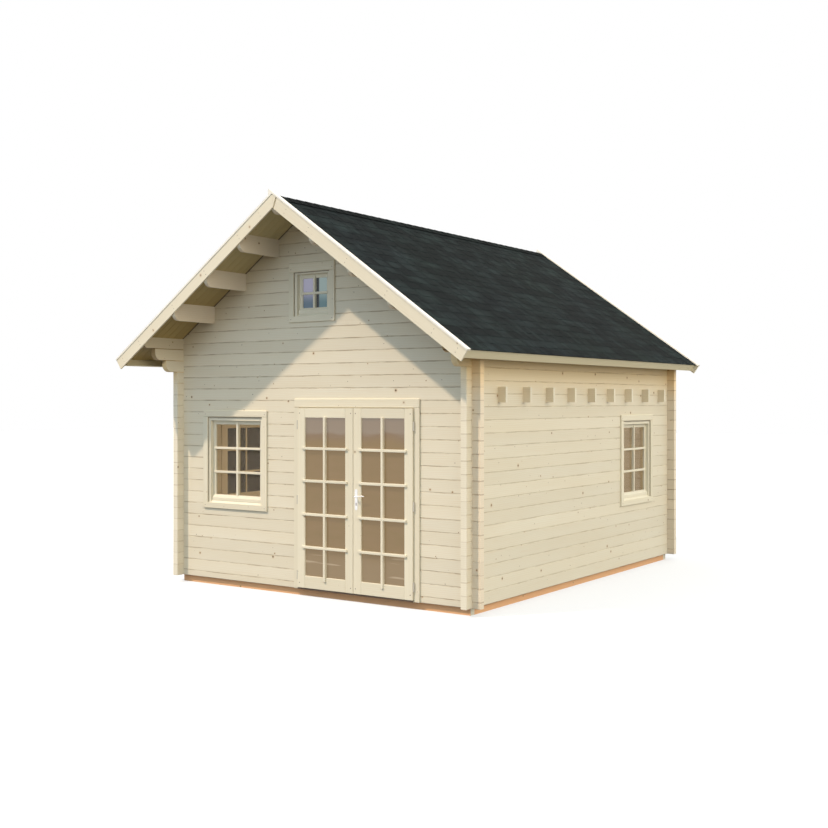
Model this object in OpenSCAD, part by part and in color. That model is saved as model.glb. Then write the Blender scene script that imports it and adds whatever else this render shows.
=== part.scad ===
// Log cabin with notched corners, an overhanging gable roof and a glazed double door.
// X runs across the front, Y runs from the front to the back, Z is up. Millimetres.

/* [Walls] */
// Width over the outer faces of the side walls
wall_w = 4140; // [3450:10:4968]
// Length over the outer faces of the front and rear walls
wall_l = 5140; // [4290:10:6168]
// Height of one log course
log_h = 135; // [113:1:162]
// Thickness of a log
log_t = 70; // [58:1:84]
// Chamfer along each edge of a log, which makes the V joints
vee = 4; // [4:1:9]
// Length of the log ends past the crossing wall
log_end = 100; // [80:5:130]
// Whole courses in a side wall, under its bevelled top log
side_courses = 20; // [18:1:24]
// Height of the bevelled top log at its outer face
plate_h = 79; // [60:1:130]
// Reach of the lower two corbels of a side wall; the top one meets the barge board
corbel_reach = [280, 455]; // [200:5:600]
// Radius under the nose of a corbel or purlin
nose = 90; // [20:5:100]

/* [Base and floor] */
// Height of the base beams
beam_h = 80; // [60:5:120]
// Thickness of the base beams
beam_t = 75; // [65:5:100]
// Setback of the base beams from the wall faces
beam_in = 40; // [20:5:50]
// Thickness of the floor boards
floor_t = 28; // [19:1:32]
// Gap between the floor boards and the walls
floor_gap = 12; // [12:1:20]
// Number of bearers under the floor
bearers = 7; // [5:1:9]

/* [Loft] */
// Number of loft joists
joists = 9; // [7:1:11]
// Thickness of a loft joist
joist_t = 40; // [35:1:60]
// Height of a loft joist
joist_h = 163; // [130:1:180]
// Underside of the loft joists, in courses above the wall foot
joist_course = 15.34; // [15:0.01:16]
// Front wall face to the first joist
joist_first = 516; // [450:1:600]
// Rear wall face to the front of the last joist
joist_last = 400; // [350:1:500]
// Reach of the joist ends past the wall faces
joist_out = 94; // [60:1:98]
// Thickness of the loft boards
loft_t = 19; // [16:1:25]
// Length of the loft hatch across the cabin
hatch_l = 900; // [700:10:1000]

/* [Roof] */
// Pitch of the roof in degrees
pitch = 35.3; // [30:0.1:40]
// Overhang at the eaves, level
eave_over = 308; // [270:1:420]
// Front overhang, to the face of the barge boards
front_over = 665; // [620:5:700]
// Rear overhang, to the face of the barge boards
rear_over = 180; // [160:5:300]
// Thickness of the roof boards
deck_t = 19; // [16:1:25]
// Thickness of the laid shingles
shingle_t = 10; // [6:1:14]
// Drip of the shingles past the fascia
drip = 10; // [5:1:20]
// Width of the barge boards
barge_w = 122; // [110:1:170]
// Thickness of the barge boards
barge_t = 20; // [16:1:25]
// Run of the barge boards and verge caps past the fascia, down the slope
verge_past = 40; // [0:1:60]
// Lean of the apex joint between two barge boards
joint_lean = 21; // [0:1:30]
// Foot of that joint, to the right of the middle
joint_x = 18; // [0:1:40]
// Open gap in that joint
joint_gap = 18; // [1:1:20]
// Thickness of the verge caps
cap_t = 18; // [14:1:22]
// Width of the verge caps
cap_w = 60; // [50:5:140]
// Overrun of a right-hand verge cap past the ridge
cap_over = 86; // [40:1:120]
// Depth of the eave fascia
fascia_w = 98; // [70:1:110]
// Thickness of the eave fascia
fascia_t = 20; // [16:1:25]
// Thickness of a purlin
purlin_t = 45; // [40:1:60]
// Height of a purlin at its inner face
purlin_h = 196; // [160:1:220]
// Inner face of the first purlin from the ridge
purlin_first = 482; // [440:1:500]
// Step from one purlin to the next
purlin_step = 501; // [440:1:510]

/* [Door] */
// Centre of the doorway from the middle of the front wall
door_x = 598; // [540:1:610]
// Width over both leaves
leaves_w = 1554; // [1460:1:1600]
// Thickness of a leaf
leaf_t = 40; // [36:1:45]
// Width of the stiles and top rail
stile_w = 105; // [95:1:115]
// Width of the bottom rail
rail_w = 136; // [110:1:150]
// Clearance round the leaves
leaf_gap = 5; // [5:1:7]
// Overlap of a leaf on its frame
leaf_lap = 25; // [20:1:30]
// Thickness of the door frame
jamb_t = 45; // [40:1:55]
// Height of the threshold plate
sill_t = 12; // [10:1:16]
// Thickness of the casing boards
casing_t = 20; // [16:1:24]
// Width of the door casing boards
door_casing_w = 64; // [56:1:75]
// Radius of a hinge knuckle
knuckle_r = 8; // [7:0.5:8]
// Radius of a hinge pin
pin_r = 4; // [3:0.5:5]
// Length of one hinge knuckle
knuckle_l = 50; // [40:1:60]
// Height of the lever above the wall foot
lever_z = 1062; // [1000:1:1100]
// Backset of the lever from the edge of its leaf
lever_x = 42; // [38:1:50]
// Length of the lever grip
lever_l = 140; // [110:1:150]

/* [Windows] */
// Courses under the low windows
low_sill = 6; // [5:1:7]
// Courses in the height of a low window
low_rows = 8; // [7:1:8]
// Width of the hole for a low window
low_w = 910; // [800:5:960]
// Courses under the gable window
gable_sill = 22; // [21:1:22]
// Courses in the height of the gable window
gable_rows = 4; // [3:1:4]
// Width of the hole for the gable window
gable_w = 565; // [480:5:600]
// Front window centre from the middle of the front wall
front_window_x = -1155; // [-1160:1:-1100]
// Side window centre from the nearer end wall
side_window_y = 1098; // [1000:1:1200]
// Face of a window frame
frame_w = 63; // [50:1:70]
// Face of a sash
sash_w = 45; // [38:1:52]
// Thickness of a sash
sash_t = 40; // [32:1:44]
// Depth of a sash behind the wall face
sash_in = 40; // [20:1:45]
// Thickness of the glass
glass_t = 5; // [4:1:8]
// Width of the window casing boards at the sides
casing_w = 70; // [60:1:80]

/* [Hidden] */

$fn = 48;
past = 1;                      // overrun of a cut past the faces it opens
pine = [0.90, 0.85, 0.76];
trim = [0.92, 0.88, 0.79];
base_brown = [0.80, 0.61, 0.43];
roof_grey = [0.18, 0.20, 0.22];
steel = [0.80, 0.80, 0.80];
pane = [0.55, 0.60, 0.65, 0.4];

half_w = wall_w / 2;
y_mid = (wall_l + rear_over - front_over) / 2;   // moves the middle of the roof to Y = 0
slope = tan(pitch);
foot = beam_h;                 // underside of the walls
eave_z = foot + side_courses * log_h + plate_h;
ridge_z = eave_z + half_w * slope;
run = (half_w + eave_over) / cos(pitch);         // ridge to eave along the slope
verge_run = run + verge_past;
deck_y0 = barge_t - front_over;
deck_y1 = wall_l + rear_over - barge_t;
v_top = deck_t + shingle_t;    // top of the shingles over the roof plane
lay = 0.05;                    // air between two sloping pieces laid on each other

door_course = 15.5;            // top of the doorway, a joint of the front wall
joist_z = foot + joist_course * log_h;
ridge_half = 35;               // half the thickness of the ridge purlin
ridge_h = 170;                 // its height
joist_step = (wall_l - joist_first - joist_last) / (joists - 1);
function course_z(k) = foot + k * log_h;
function roof_z(x) = ridge_z - abs(x) * slope;
function joist_y(i) = joist_first + i * joist_step;
function purlin_x(i) = purlin_first + i * purlin_step;

settle_share = 0.037;          // share of a hole left over its frame, for the logs to settle
casing_drop = 50;              // casing past the hole below
casing_low = 15;               // casing over the foot of the hole
casing_high = 60;              // casing over the head of the hole
casing_lap = 42.5;             // casing past the hole at each side
liner_in = 15;                 // frames past the inner wall face
sill_z = 14;                   // front edge of the sloping sill, over the hole's foot

leaf_w = (leaves_w - leaf_gap) / 2;
leaf_z0 = foot + sill_t + 6;
door_top = course_z(door_course);
leaf_z1 = door_top - 86;
rough_w = leaves_w - 2 * leaf_lap + 2 * jamb_t;
door_l = door_x - rough_w / 2;
door_r = door_x + rough_w / 2;
frame_y0 = leaf_gap;
frame_y1 = log_t + 10;
hinge_y = -casing_t - knuckle_r - 1;
hinge_out = knuckle_r + 0.5;   // hinge axis to the edge of its leaf
pin_play = 0.05;               // radial play of a hinge pin
hinge_x = [door_x - leaves_w / 2 - hinge_out, door_x + leaves_w / 2 + hinge_out];
hinge_low = leaf_z0 + 138;
hinge_high = leaf_z1 - 184;
hinge_zs = [hinge_low, (hinge_low + hinge_high) / 2, hinge_high];
plate_t = 3;                   // lock plates
flap_t = 2;                    // hinge flaps
spindle_r = 5;
spindle_play = 0.5;
lever_gap = 5;                 // lever boss to lock plate
lever_out = 48;                // grip centre to lock plate
grip_r = 8;
lever_cx = door_x + leaf_gap / 2 + lever_x;
lever_cz = foot + lever_z;

gable_cut = 25;                // cut of the gable window into the log under it
// Window places: X, Y, sill height, turn, width, height, rise of the casing over the hole.
windows = [
    [front_window_x, 0, course_z(low_sill + 0.5), 0, low_w, low_rows * log_h, 20],
    [half_w, wall_l - side_window_y, course_z(low_sill), 90, low_w, low_rows * log_h, 20],
    [-half_w, side_window_y, course_z(low_sill), -90, low_w, low_rows * log_h, 20],
    [0, 0, course_z(gable_sill + 0.5) - gable_cut, 0, gable_w, gable_rows * log_h + gable_cut, 45]
];

// Everything is placed through this, so the row's origin is under the middle of the roof.
module placed() {
    translate([0, -y_mid, 0]) children();
}

// A box given by its low and high corners.
module block(low, high) {
    translate(low) cube(high - low);
}

// Cross-section of logs laid on each other, from their joint heights. Each log has four
// chamfered edges. The last log is closed by its own top heights at the two faces.
function log_outline(zs, top_a, top_b) = concat(
    [for (i = [0 : len(zs) - 2]) each [[vee, zs[i]], [0, zs[i] + vee], [0, zs[i + 1] - vee]]],
    [[vee, zs[len(zs) - 1]], [0, zs[len(zs) - 1] + vee], [0, top_a]],
    [[log_t, top_b], [log_t, zs[len(zs) - 1] + vee], [log_t - vee, zs[len(zs) - 1]]],
    [for (i = [len(zs) - 2 : -1 : 0])
        each [[log_t, zs[i + 1] - vee], [log_t, zs[i] + vee], [log_t - vee, zs[i]]]]
);

// Extrudes an outline in (Y, Z) along X, or one in (X, Z) along Y.
module along_x(x0, x1) {
    translate([x0, 0, 0]) rotate([90, 0, 90]) linear_extrude(x1 - x0) children();
}
module along_y(y0, y1) {
    translate([0, y1, 0]) rotate([90, 0, 0]) linear_extrude(y1 - y0) children();
}

// Logs of an end wall between two heights in courses. Its first log is half a log high, so
// its joints fall half a course off those of the side walls and the corners interlock.
module end_logs(y, k0, k1, x0, x1) {
    first = k0 == 0 ? [foot] : [];
    zs = concat(first, [for (k = [max(k0, 0.5) : 1 : k1 - 0.9]) course_z(k)]);
    translate([0, y, 0]) along_x(x0, x1) polygon(log_outline(zs, course_z(k1), course_z(k1)));
}

// Each end log is halved where it crosses a side log: a quarter of its height is cut away
// above and below, and the middle of the side log fills that pocket. The side walls' top
// logs are left whole over the last one.
module end_pockets(y, side, top) {
    x = side * (half_w - log_t / 2);
    for (k = [0 : top])
        block([x - log_t / 2, y - past, course_z(k + 0.25)],
              [x + log_t / 2, y + log_t + past, course_z(k == side_courses ? k + 2 : k + 0.75)]);
}

// The same at both ends of a side wall.
module side_pockets(x0) {
    for (y = [0, wall_l - log_t], k = [0 : side_courses])
        block([x0 - past, y, course_z(k - 0.25)], [x0 + log_t + past, y + log_t, course_z(k + 0.25)]);
}

// Area under the roof boards, as an outline in (X, Z).
module under_roof(z0) {
    reach = half_w + log_end + past;
    polygon([[-reach, z0], [reach, z0], [reach, roof_z(reach)], [0, ridge_z], [-reach, roof_z(reach)]]);
}

// Cross-sections of the purlins. Their tops lie in the roof plane, or higher by a given rise
// where the sections are cut from a gable.
module purlin_section(i, rise = 0) {
    x = purlin_x(i);
    z = roof_z(x) - purlin_h;
    top = rise + roof_z(x + purlin_t);
    polygon([[x, z], [x + purlin_t, z], [x + purlin_t, top], [x, rise + roof_z(x)]]);
}
module ridge_section(rise = 0) {
    w = ridge_half;
    z = ridge_z - ridge_h;
    top = rise + roof_z(w);
    polygon([[-w, z], [w, z], [w, top], [0, rise + ridge_z], [-w, top]]);
}
module all_sections() {
    for (i = [0 : 2]) {
        purlin_section(i, past);
        mirror([1, 0]) purlin_section(i, past);
    }
    ridge_section(past);
}

// What is cut away to round the lower corner of a timber's end. The corner is at (y, z), and
// the timber runs on from it along Y in the given direction.
module nose_cut(x0, x1, y, z, way) {
    translate([x0, y, z]) mirror([0, way < 0 ? 1 : 0, 0]) difference() {
        block([-past, -past, -past], [x1 - x0 + past, nose, nose]);
        translate([-2 * past, nose, nose]) rotate([0, 90, 0]) cylinder(r = nose, h = x1 - x0 + 4 * past);
    }
}
// Both noses of a timber that spans the roof, at underside height z.
module nose_cuts(x0, x1, z) {
    nose_cut(x0, x1, deck_y0, z, 1);
    nose_cut(x0, x1, deck_y1, z, -1);
}

// Puts its children at every window, facing out, with X along the wall and Y inwards.
module at_windows(list) {
    for (w = list)
        let ($w = w[4], $h = w[5], $rise = w[6], $top = w[5] * (1 - settle_share))
            translate([w[0], w[1], w[2]]) rotate([0, 0, w[3]]) children();
}
module window_hole() {
    block([-$w / 2, -past, 0], [$w / 2, log_t + past, $h]);
}
// A flat ring between two outlines, each half width, low and high.
module ring(outer, inner, y0, y1) {
    difference() {
        block([-outer[0], y0, outer[1]], [outer[0], y1, outer[2]]);
        block([-inner[0], y0 - past, inner[1]], [inner[0], y1 + past, inner[2]]);
    }
}

// Base, floor
module base_end(y0) {
    block([beam_in - half_w, y0, 0], [half_w - beam_in, y0 + beam_t, beam_h]);
}
module base_side(x0) {
    block([x0, beam_in + beam_t, 0], [x0 + beam_t, wall_l - beam_in - beam_t, beam_h]);
}
module base_front() color(base_brown) placed() base_end(beam_in);
module base_rear() color(base_brown) placed() base_end(wall_l - beam_in - beam_t);
module base_left() color(base_brown) placed() base_side(beam_in - half_w);
module base_right() color(base_brown) placed() base_side(half_w - beam_in - beam_t);
module floor_bearers() color(base_brown) placed() {
    inner = half_w - beam_in - beam_t;
    step = (wall_l - 2 * (beam_in + beam_t)) / (bearers + 1);
    for (i = [1 : bearers])
        translate([0, beam_in + beam_t + i * step, 0])
            block([-inner, -25, 0], [inner, 25, beam_h]);
}
module floor() color(pine) placed() {
    inner = half_w - log_t - floor_gap;
    block([-inner, log_t + floor_gap, foot], [inner, wall_l - log_t - floor_gap, foot + floor_t]);
}

// Walls
module front_wall_left() color(pine) placed() difference() {
    end_logs(0, 0, door_course, -half_w - log_end, door_l);
    end_pockets(0, -1, door_course);
    at_windows([windows[0]]) window_hole();
}
module front_wall_right() color(pine) placed() difference() {
    end_logs(0, 0, door_course, door_r, half_w + log_end);
    end_pockets(0, 1, door_course);
}
module gable(y, k0) {
    k1 = k0 + ceil((ridge_z - course_z(k0)) / log_h);
    difference() {
        intersection() {
            end_logs(y, k0, k1, -half_w - log_end, half_w + log_end);
            along_y(y - past, y + log_t + past) under_roof(course_z(k0) - past);
        }
        for (side = [-1, 1])
            end_pockets(y, side, side_courses);
        along_y(y - past, y + log_t + past) all_sections();
    }
}
module front_gable() color(pine) placed() difference() {
    gable(0, door_course);
    at_windows([windows[3]]) window_hole();
}
module rear_wall() color(pine) placed() gable(wall_l - log_t, 0);

// Side view of a side wall: straight log ends, then three corbels that step out under the
// front of the roof. The top log runs from one barge board to the other.
reach = [corbel_reach[0], corbel_reach[1], -deck_y0];
module side_view() {
    y1 = wall_l + log_end;
    top = course_z(side_courses);
    polygon([
        [-log_end, foot], [y1, foot], [y1, top], [deck_y1, top], [deck_y1, top + 2 * log_h],
        [-reach[2], top + 2 * log_h], [-reach[2], top], [-reach[1], top], [-reach[1], top - log_h],
        [-reach[0], top - log_h], [-reach[0], top - 2 * log_h], [-log_end, top - 2 * log_h]
    ]);
}
module side_wall(side) {
    x0 = side > 0 ? half_w - log_t : -half_w;
    zs = [for (k = [0 : side_courses]) course_z(k)];
    difference() {
        intersection() {
            along_y(-front_over, wall_l + rear_over) translate([x0, 0])
                polygon(log_outline(zs, roof_z(x0), roof_z(x0 + log_t)));
            along_x(x0 - past, x0 + log_t + past) side_view();
        }
        side_pockets(x0);
        joist_set();
        for (i = [0 : 2])
            nose_cut(x0, x0 + log_t, -reach[i], course_z(side_courses - 2 + i), 1);
    }
}
module left_wall() color(pine) placed() difference() {
    side_wall(-1);
    at_windows([windows[2]]) window_hole();
}
module right_wall() color(pine) placed() difference() {
    side_wall(1);
    at_windows([windows[1]]) window_hole();
}

// Loft
module joist_set() {
    reach = half_w + joist_out;
    for (i = [0 : joists - 1])
        translate([0, joist_y(i), joist_z]) block([-reach, 0, 0], [reach, joist_t, joist_h]);
}
module loft_joists() color(pine) placed() joist_set();
module loft_floor() color(pine) placed() {
    inner = half_w - log_t;
    z = joist_z + joist_h;
    bay = joists - 3;          // the hatch fills the bay behind this joist
    hatch_x = 400 - inner;
    difference() {
        block([-inner, log_t, z], [inner, wall_l - log_t, z + loft_t]);
        block([hatch_x, joist_y(bay) + joist_t, z - past],
              [hatch_x + hatch_l, joist_y(bay + 1), z + loft_t + past]);
    }
}

// Roof. Points on a slope are given by u, down the slope from the ridge, and v, out of it.
function on_slope(u, v) = [u * cos(pitch) + v * sin(pitch), ridge_z - u * sin(pitch) + v * cos(pitch)];
module mirrored(side) {
    mirror([side < 0 ? 1 : 0, 0, 0]) children();
}
// A layer of the roof that meets its twin over the ridge.
module layer(side, v0, v1, u1, y0, y1) {
    mirrored(side) along_y(y0, y1)
        polygon([[0, ridge_z + v0 / cos(pitch)], on_slope(u1, v0), on_slope(u1, v1),
                 [0, ridge_z + v1 / cos(pitch)]]);
}
// A board laid down the slope with square ends.
module board(u0, u1, v0, v1) {
    polygon([on_slope(u0, v0), on_slope(u1, v0), on_slope(u1, v1), on_slope(u0, v1)]);
}

module purlins() color(pine) placed() {
    for (side = [-1, 1], i = [0 : 2])
        mirrored(side) difference() {
            along_y(deck_y0, deck_y1) purlin_section(i);
            nose_cuts(purlin_x(i), purlin_x(i) + purlin_t, roof_z(purlin_x(i)) - purlin_h);
        }
}
module ridge_purlin() color(pine) placed() difference() {
    along_y(deck_y0, deck_y1) ridge_section();
    nose_cuts(-ridge_half, ridge_half, ridge_z - ridge_h);
}
module deck_slab(side) {
    layer(side, lay, deck_t, run - fascia_t - lay, deck_y0, deck_y1);
}
module shingle_slab(side) {
    layer(side, deck_t + lay, v_top, run + drip, deck_y0, deck_y1);
}
module roof_deck_left() color(pine) placed() deck_slab(-1);
module roof_deck_right() color(pine) placed() deck_slab(1);
module shingles_left() color(roof_grey) placed() shingle_slab(-1);
module shingles_right() color(roof_grey) placed() shingle_slab(1);
module ridge_strip() color(roof_grey) placed() {
    strip_t = 4;
    strip_w = 125;
    for (side = [-1, 1])
        layer(side, v_top + lay, v_top + strip_t, strip_w, cap_w - front_over, wall_l + rear_over - cap_w);
}

// Barge boards: the joint at the apex leans, as it was cut, and stands a little to the right.
module barge_pair(y0) {
    v0 = v_top - barge_w;
    apex = ridge_z + v0 / cos(pitch);
    for (side = [-1, 1])
        intersection() {
            union() {
                layer(-1, v0, v_top, verge_run, y0, y0 + barge_t);
                layer(1, v0, v_top, verge_run, y0, y0 + barge_t);
            }
            along_y(y0 - past, y0 + barge_t + past) translate([joint_x, apex]) rotate(-joint_lean)
                translate([side > 0 ? joint_gap / 2 : -2 * run - joint_gap / 2, -2 * run])
                    square([2 * run, 4 * run]);
        }
}
module barge_boards_front() color(trim) placed() barge_pair(-front_over);
module barge_boards_rear() color(trim) placed() barge_pair(wall_l + rear_over - barge_t);

// Verge caps lie on the barge boards and the shingles. The left one butts against the underside
// of the right one, which runs on past the ridge over a wedge that fills the corner.
cap_ys = [-front_over - 6, wall_l + rear_over + 6 - cap_w];
module cap_wedge() {
    tip = on_slope(-cap_over, v_top + 2 * lay);
    inner = -(cap_t - lay) / 2 / sin(pitch);
    polygon([
        [inner, ridge_z - inner * slope + (v_top + 2 * lay) / cos(pitch)], tip,
        [tip[0], ridge_z + tip[0] * slope + (v_top + cap_t + lay) / cos(pitch)]
    ]);
}
module verge_caps_right() color(trim) placed() {
    for (y = cap_ys)
        along_y(y, y + cap_w) union() {
            board(-cap_over, verge_run, v_top + lay, v_top + cap_t);
            cap_wedge();
        }
}
module verge_caps_left() color(trim) placed() {
    for (y = cap_ys)
        along_y(y, y + cap_w) difference() {
            mirror([1, 0]) board(-cap_over, verge_run, v_top + lay, v_top + cap_t);
            board(-run, run, v_top, v_top + 10 * cap_t);
        }
}
module eave_fascias() color(trim) placed() {
    for (side = [-1, 1])
        mirrored(side) along_y(deck_y0, deck_y1) board(run - fascia_t, run, deck_t - fascia_w, deck_t);
}

// Door frame and casing
module door_jambs() color(trim) placed() {
    for (x = [door_l, door_r - jamb_t])
        block([x, frame_y0, foot], [x + jamb_t, frame_y1, leaf_z1 - leaf_lap]);
}
module door_head() color(trim) placed() {
    block([door_l, frame_y0, leaf_z1 - leaf_lap], [door_r, frame_y1, door_top - 10]);
}
module door_casing_sides() color(trim) placed() {
    near = leaves_w / 2 + leaf_gap;
    for (side = [-1, 1])
        translate([door_x, 0, 0]) mirrored(side)
            block([near, -casing_t, foot], [near + door_casing_w, 0, leaf_z1 + leaf_gap]);
}
module door_casing_head() color(trim) placed() {
    far = leaves_w / 2 + leaf_gap + door_casing_w;
    block([door_x - far, -casing_t, leaf_z1 + leaf_gap], [door_x + far, 0, door_top + 20]);
}
module door_threshold() color(base_brown) placed() {
    inner = rough_w / 2 - jamb_t;
    nosing = leaves_w / 2 + leaf_gap;
    union() {
        block([door_x - inner, 0, foot], [door_x + inner, log_t + 8, foot + sill_t]);
        block([door_x - nosing, 8 - leaf_t, foot], [door_x + nosing, leaf_gap, foot + sill_t]);
    }
}

// Door leaves. The left one hangs on the left, the right one on the right and carries the lock.
function leaf_x(side) = door_x + (side > 0 ? leaf_gap / 2 : -leaf_gap / 2 - leaf_w);
module leaf(side) {
    x = leaf_x(side);
    difference() {
        block([x, -leaf_t, leaf_z0], [x + leaf_w, 0, leaf_z1]);
        block([x + stile_w, -leaf_t - past, leaf_z0 + rail_w],
              [x + leaf_w - stile_w, past, leaf_z1 - stile_w]);
    }
}
module pane_of(side) {
    x = leaf_x(side);
    y = -leaf_t / 2;
    block([x + stile_w, y, leaf_z0 + rail_w], [x + leaf_w - stile_w, y + glass_t, leaf_z1 - stile_w]);
}
module door_leaf_left() color(trim) placed() leaf(-1);
module door_leaf_right() color(trim) placed() difference() {
    leaf(1);
    spindle_hole(-leaf_t, 0);
}
// The hole for the lever's spindle, from one depth to another.
module spindle_hole(y0, y1) {
    translate([lever_cx, y1 + past, lever_cz]) rotate([90, 0, 0])
        cylinder(r = spindle_r + spindle_play, h = y1 - y0 + 2 * past);
}
module door_glass_left() color(pane) placed() pane_of(-1);
module door_glass_right() color(pane) placed() pane_of(1);

// Lift-off hinges beside the leaves. The pin half stands on the casing, and the bored half
// turns on it, with its flap on the edge of the leaf.
module pin_half(side) {
    for (z = hinge_zs)
        translate([hinge_x[side > 0 ? 1 : 0], hinge_y, z]) mirrored(side) {
            translate([0, 0, -knuckle_l]) cylinder(r = knuckle_r, h = knuckle_l);
            cylinder(r = pin_r, h = knuckle_l * 0.8);
            block([-6, 0, -knuckle_l], [6, -hinge_y - casing_t, 0]);
        }
}
module bored_half(side) {
    for (z = hinge_zs)
        translate([hinge_x[side > 0 ? 1 : 0], hinge_y, z + 0.3]) mirrored(side) difference() {
            union() {
                cylinder(r = knuckle_r, h = knuckle_l);
                block([-hinge_out, -3, 0], [flap_t - hinge_out, -hinge_y - 2, knuckle_l]);
            }
            translate([0, 0, -past]) cylinder(r = pin_r + pin_play, h = knuckle_l * 0.8 + 2 * past);
        }
}
module hinge_pins_left() color(steel) placed() pin_half(-1);
module hinge_pins_right() color(steel) placed() pin_half(1);
module hinge_knuckles_left() color(steel) placed() bored_half(-1);
module hinge_knuckles_right() color(steel) placed() bored_half(1);

// Lock plates on both faces, and one lever that passes through the leaf.
module lock_plates() color(steel) placed() {
    near = 18;                     // half the width of a plate
    for (y = [-leaf_t - plate_t, 0])
        difference() {
            block([lever_cx - near, y, lever_cz - 145], [lever_cx + near, y + plate_t, lever_cz + 80]);
            spindle_hole(y, y + plate_t);
        }
}
module door_lever() color(steel) placed() {
    y0 = -leaf_t - plate_t - lever_out;
    y1 = plate_t + lever_out;
    union() {
        translate([lever_cx, y1, lever_cz]) rotate([90, 0, 0])
            cylinder(r = spindle_r, h = y1 - y0);
        for (y = [y0, y1])
            translate([lever_cx - grip_r, y, lever_cz]) rotate([0, 90, 0])
                cylinder(r = grip_r, h = lever_l + grip_r);
    }
}

// Windows
module window_casings() color(trim) placed() at_windows(windows) {
    far = $w / 2 + casing_lap;
    ring([far, -casing_drop, $h + $rise], [far - casing_w, casing_low, $h - casing_high], -casing_t, 0);
}
module window_frames() color(trim) placed() at_windows(windows) difference() {
    ring([$w / 2, 0, $top], [$w / 2 - frame_w, frame_w, $top - frame_w], 0, log_t + liner_in);
    along_x(frame_w - $w / 2, $w / 2 - frame_w)
        polygon([[-past, sill_z], [0, sill_z], [sash_in, frame_w], [sash_in, frame_w + past],
                 [-past, frame_w + past]]);
}
module window_sashes() color(trim) placed() at_windows(windows) {
    out = $w / 2 - frame_w;
    ring([out, frame_w, $top - frame_w], [out - sash_w, frame_w + sash_w, $top - frame_w - sash_w],
         sash_in, sash_in + sash_t);
}
module window_glass() color(pane) placed() at_windows(windows) {
    out = $w / 2 - frame_w - sash_w;
    y = sash_in + sash_t / 2;
    block([-out, y, frame_w + sash_w], [out, y + glass_t, $top - frame_w - sash_w]);
}

base_front();
base_rear();
base_left();
base_right();
floor_bearers();
floor();
front_wall_left();
front_wall_right();
front_gable();
rear_wall();
left_wall();
right_wall();
loft_joists();
loft_floor();
purlins();
ridge_purlin();
roof_deck_left();
roof_deck_right();
shingles_left();
shingles_right();
ridge_strip();
barge_boards_front();
barge_boards_rear();
verge_caps_left();
verge_caps_right();
eave_fascias();
door_jambs();
door_head();
door_casing_sides();
door_casing_head();
door_threshold();
door_leaf_left();
door_leaf_right();
door_glass_left();
door_glass_right();
hinge_pins_left();
hinge_pins_right();
hinge_knuckles_left();
hinge_knuckles_right();
lock_plates();
door_lever();
window_casings();
window_frames();
window_sashes();
window_glass();
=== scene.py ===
# %% [markdown]
# # A log cabin
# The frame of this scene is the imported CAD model: walls of notched logs, roof, door and windows,
# all true to size. This script adds what construction drawings leave out, such as separate boards,
# shingles, glazing bars and grain, and it never changes the size of the cabin. All lengths are
# metres. X runs across the front, +Y runs to the back and Z is up.

# %% Load the frame
import bpy
import math
import numpy as np
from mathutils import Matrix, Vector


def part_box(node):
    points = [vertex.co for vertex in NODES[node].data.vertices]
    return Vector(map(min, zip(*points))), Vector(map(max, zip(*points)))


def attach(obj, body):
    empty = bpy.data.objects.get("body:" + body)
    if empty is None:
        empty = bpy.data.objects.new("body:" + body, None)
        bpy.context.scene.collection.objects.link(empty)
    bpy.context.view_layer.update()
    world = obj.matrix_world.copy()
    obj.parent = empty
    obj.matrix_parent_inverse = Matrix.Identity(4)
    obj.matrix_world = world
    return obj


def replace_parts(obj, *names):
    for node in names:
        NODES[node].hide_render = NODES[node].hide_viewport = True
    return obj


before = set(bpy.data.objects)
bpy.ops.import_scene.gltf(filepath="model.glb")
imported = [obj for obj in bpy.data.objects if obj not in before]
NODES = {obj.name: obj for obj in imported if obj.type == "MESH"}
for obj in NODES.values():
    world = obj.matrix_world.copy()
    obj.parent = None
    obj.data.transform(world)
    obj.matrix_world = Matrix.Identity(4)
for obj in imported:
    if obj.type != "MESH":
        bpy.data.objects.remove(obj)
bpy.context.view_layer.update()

# %% [markdown]
# ## Sizes
# The sizes that the new pieces share with the CAD model. Where a node is at hand they are read from its box,
# so a board still lands in the right place if the model changes.

# %% Shared sizes
COURSE = 0.135                       # height of one log
FOOT = 0.080                         # underside of the walls
HALF_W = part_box("right_wall")[1].x   # outer face of the side walls
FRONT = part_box("front_wall_left")[0].y       # outer face of the front wall
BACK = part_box("rear_wall")[1].y      # outer face of the rear wall
PITCH = math.radians(35.3)
DECK = 0.019                         # thickness of the roof boards
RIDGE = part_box("roof_deck_right")[1].z - DECK / math.cos(PITCH)
EAVE = 0.308                         # how far the roof boards reach past the side walls
RUN = (HALF_W + EAVE) / math.cos(PITCH)      # ridge to eave down the slope
VERGE = [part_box("roof_deck_right")[0].y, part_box("roof_deck_right")[1].y]
chance = np.random.default_rng(7)
print("wall faces", round(HALF_W, 3), round(FRONT, 3), round(BACK, 3), "ridge", round(RIDGE, 3))

# %% [markdown]
# ## Camera
# A building looks best when the camera is level, so that upright lines stay upright, and the lens
# is shifted a little instead of tilted. The camera stands at eye height or a bit above, off the
# front right corner, with a moderate lens.

# %% Camera
def put(name, data):
    """A new object in the scene. It stays at the origin unless it is a lamp or the camera."""
    made = bpy.data.objects.new(name, data)
    bpy.context.scene.collection.objects.link(made)
    return made

YAW = math.radians(34.55)
lens = bpy.data.cameras.new("camera")
lens.sensor_width = 36
lens.lens = 50.21
lens.shift_y = -0.0162
lens.clip_end = 200
camera = put("camera", lens)
camera.location = (8.163, FRONT - 9.872, 2.17)
camera.rotation_euler = (math.pi / 2, 0, YAW)
bpy.context.scene.camera = camera
print("camera looks along", [round(v, 3) for v in (-math.sin(YAW), math.cos(YAW), 0)])

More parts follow.
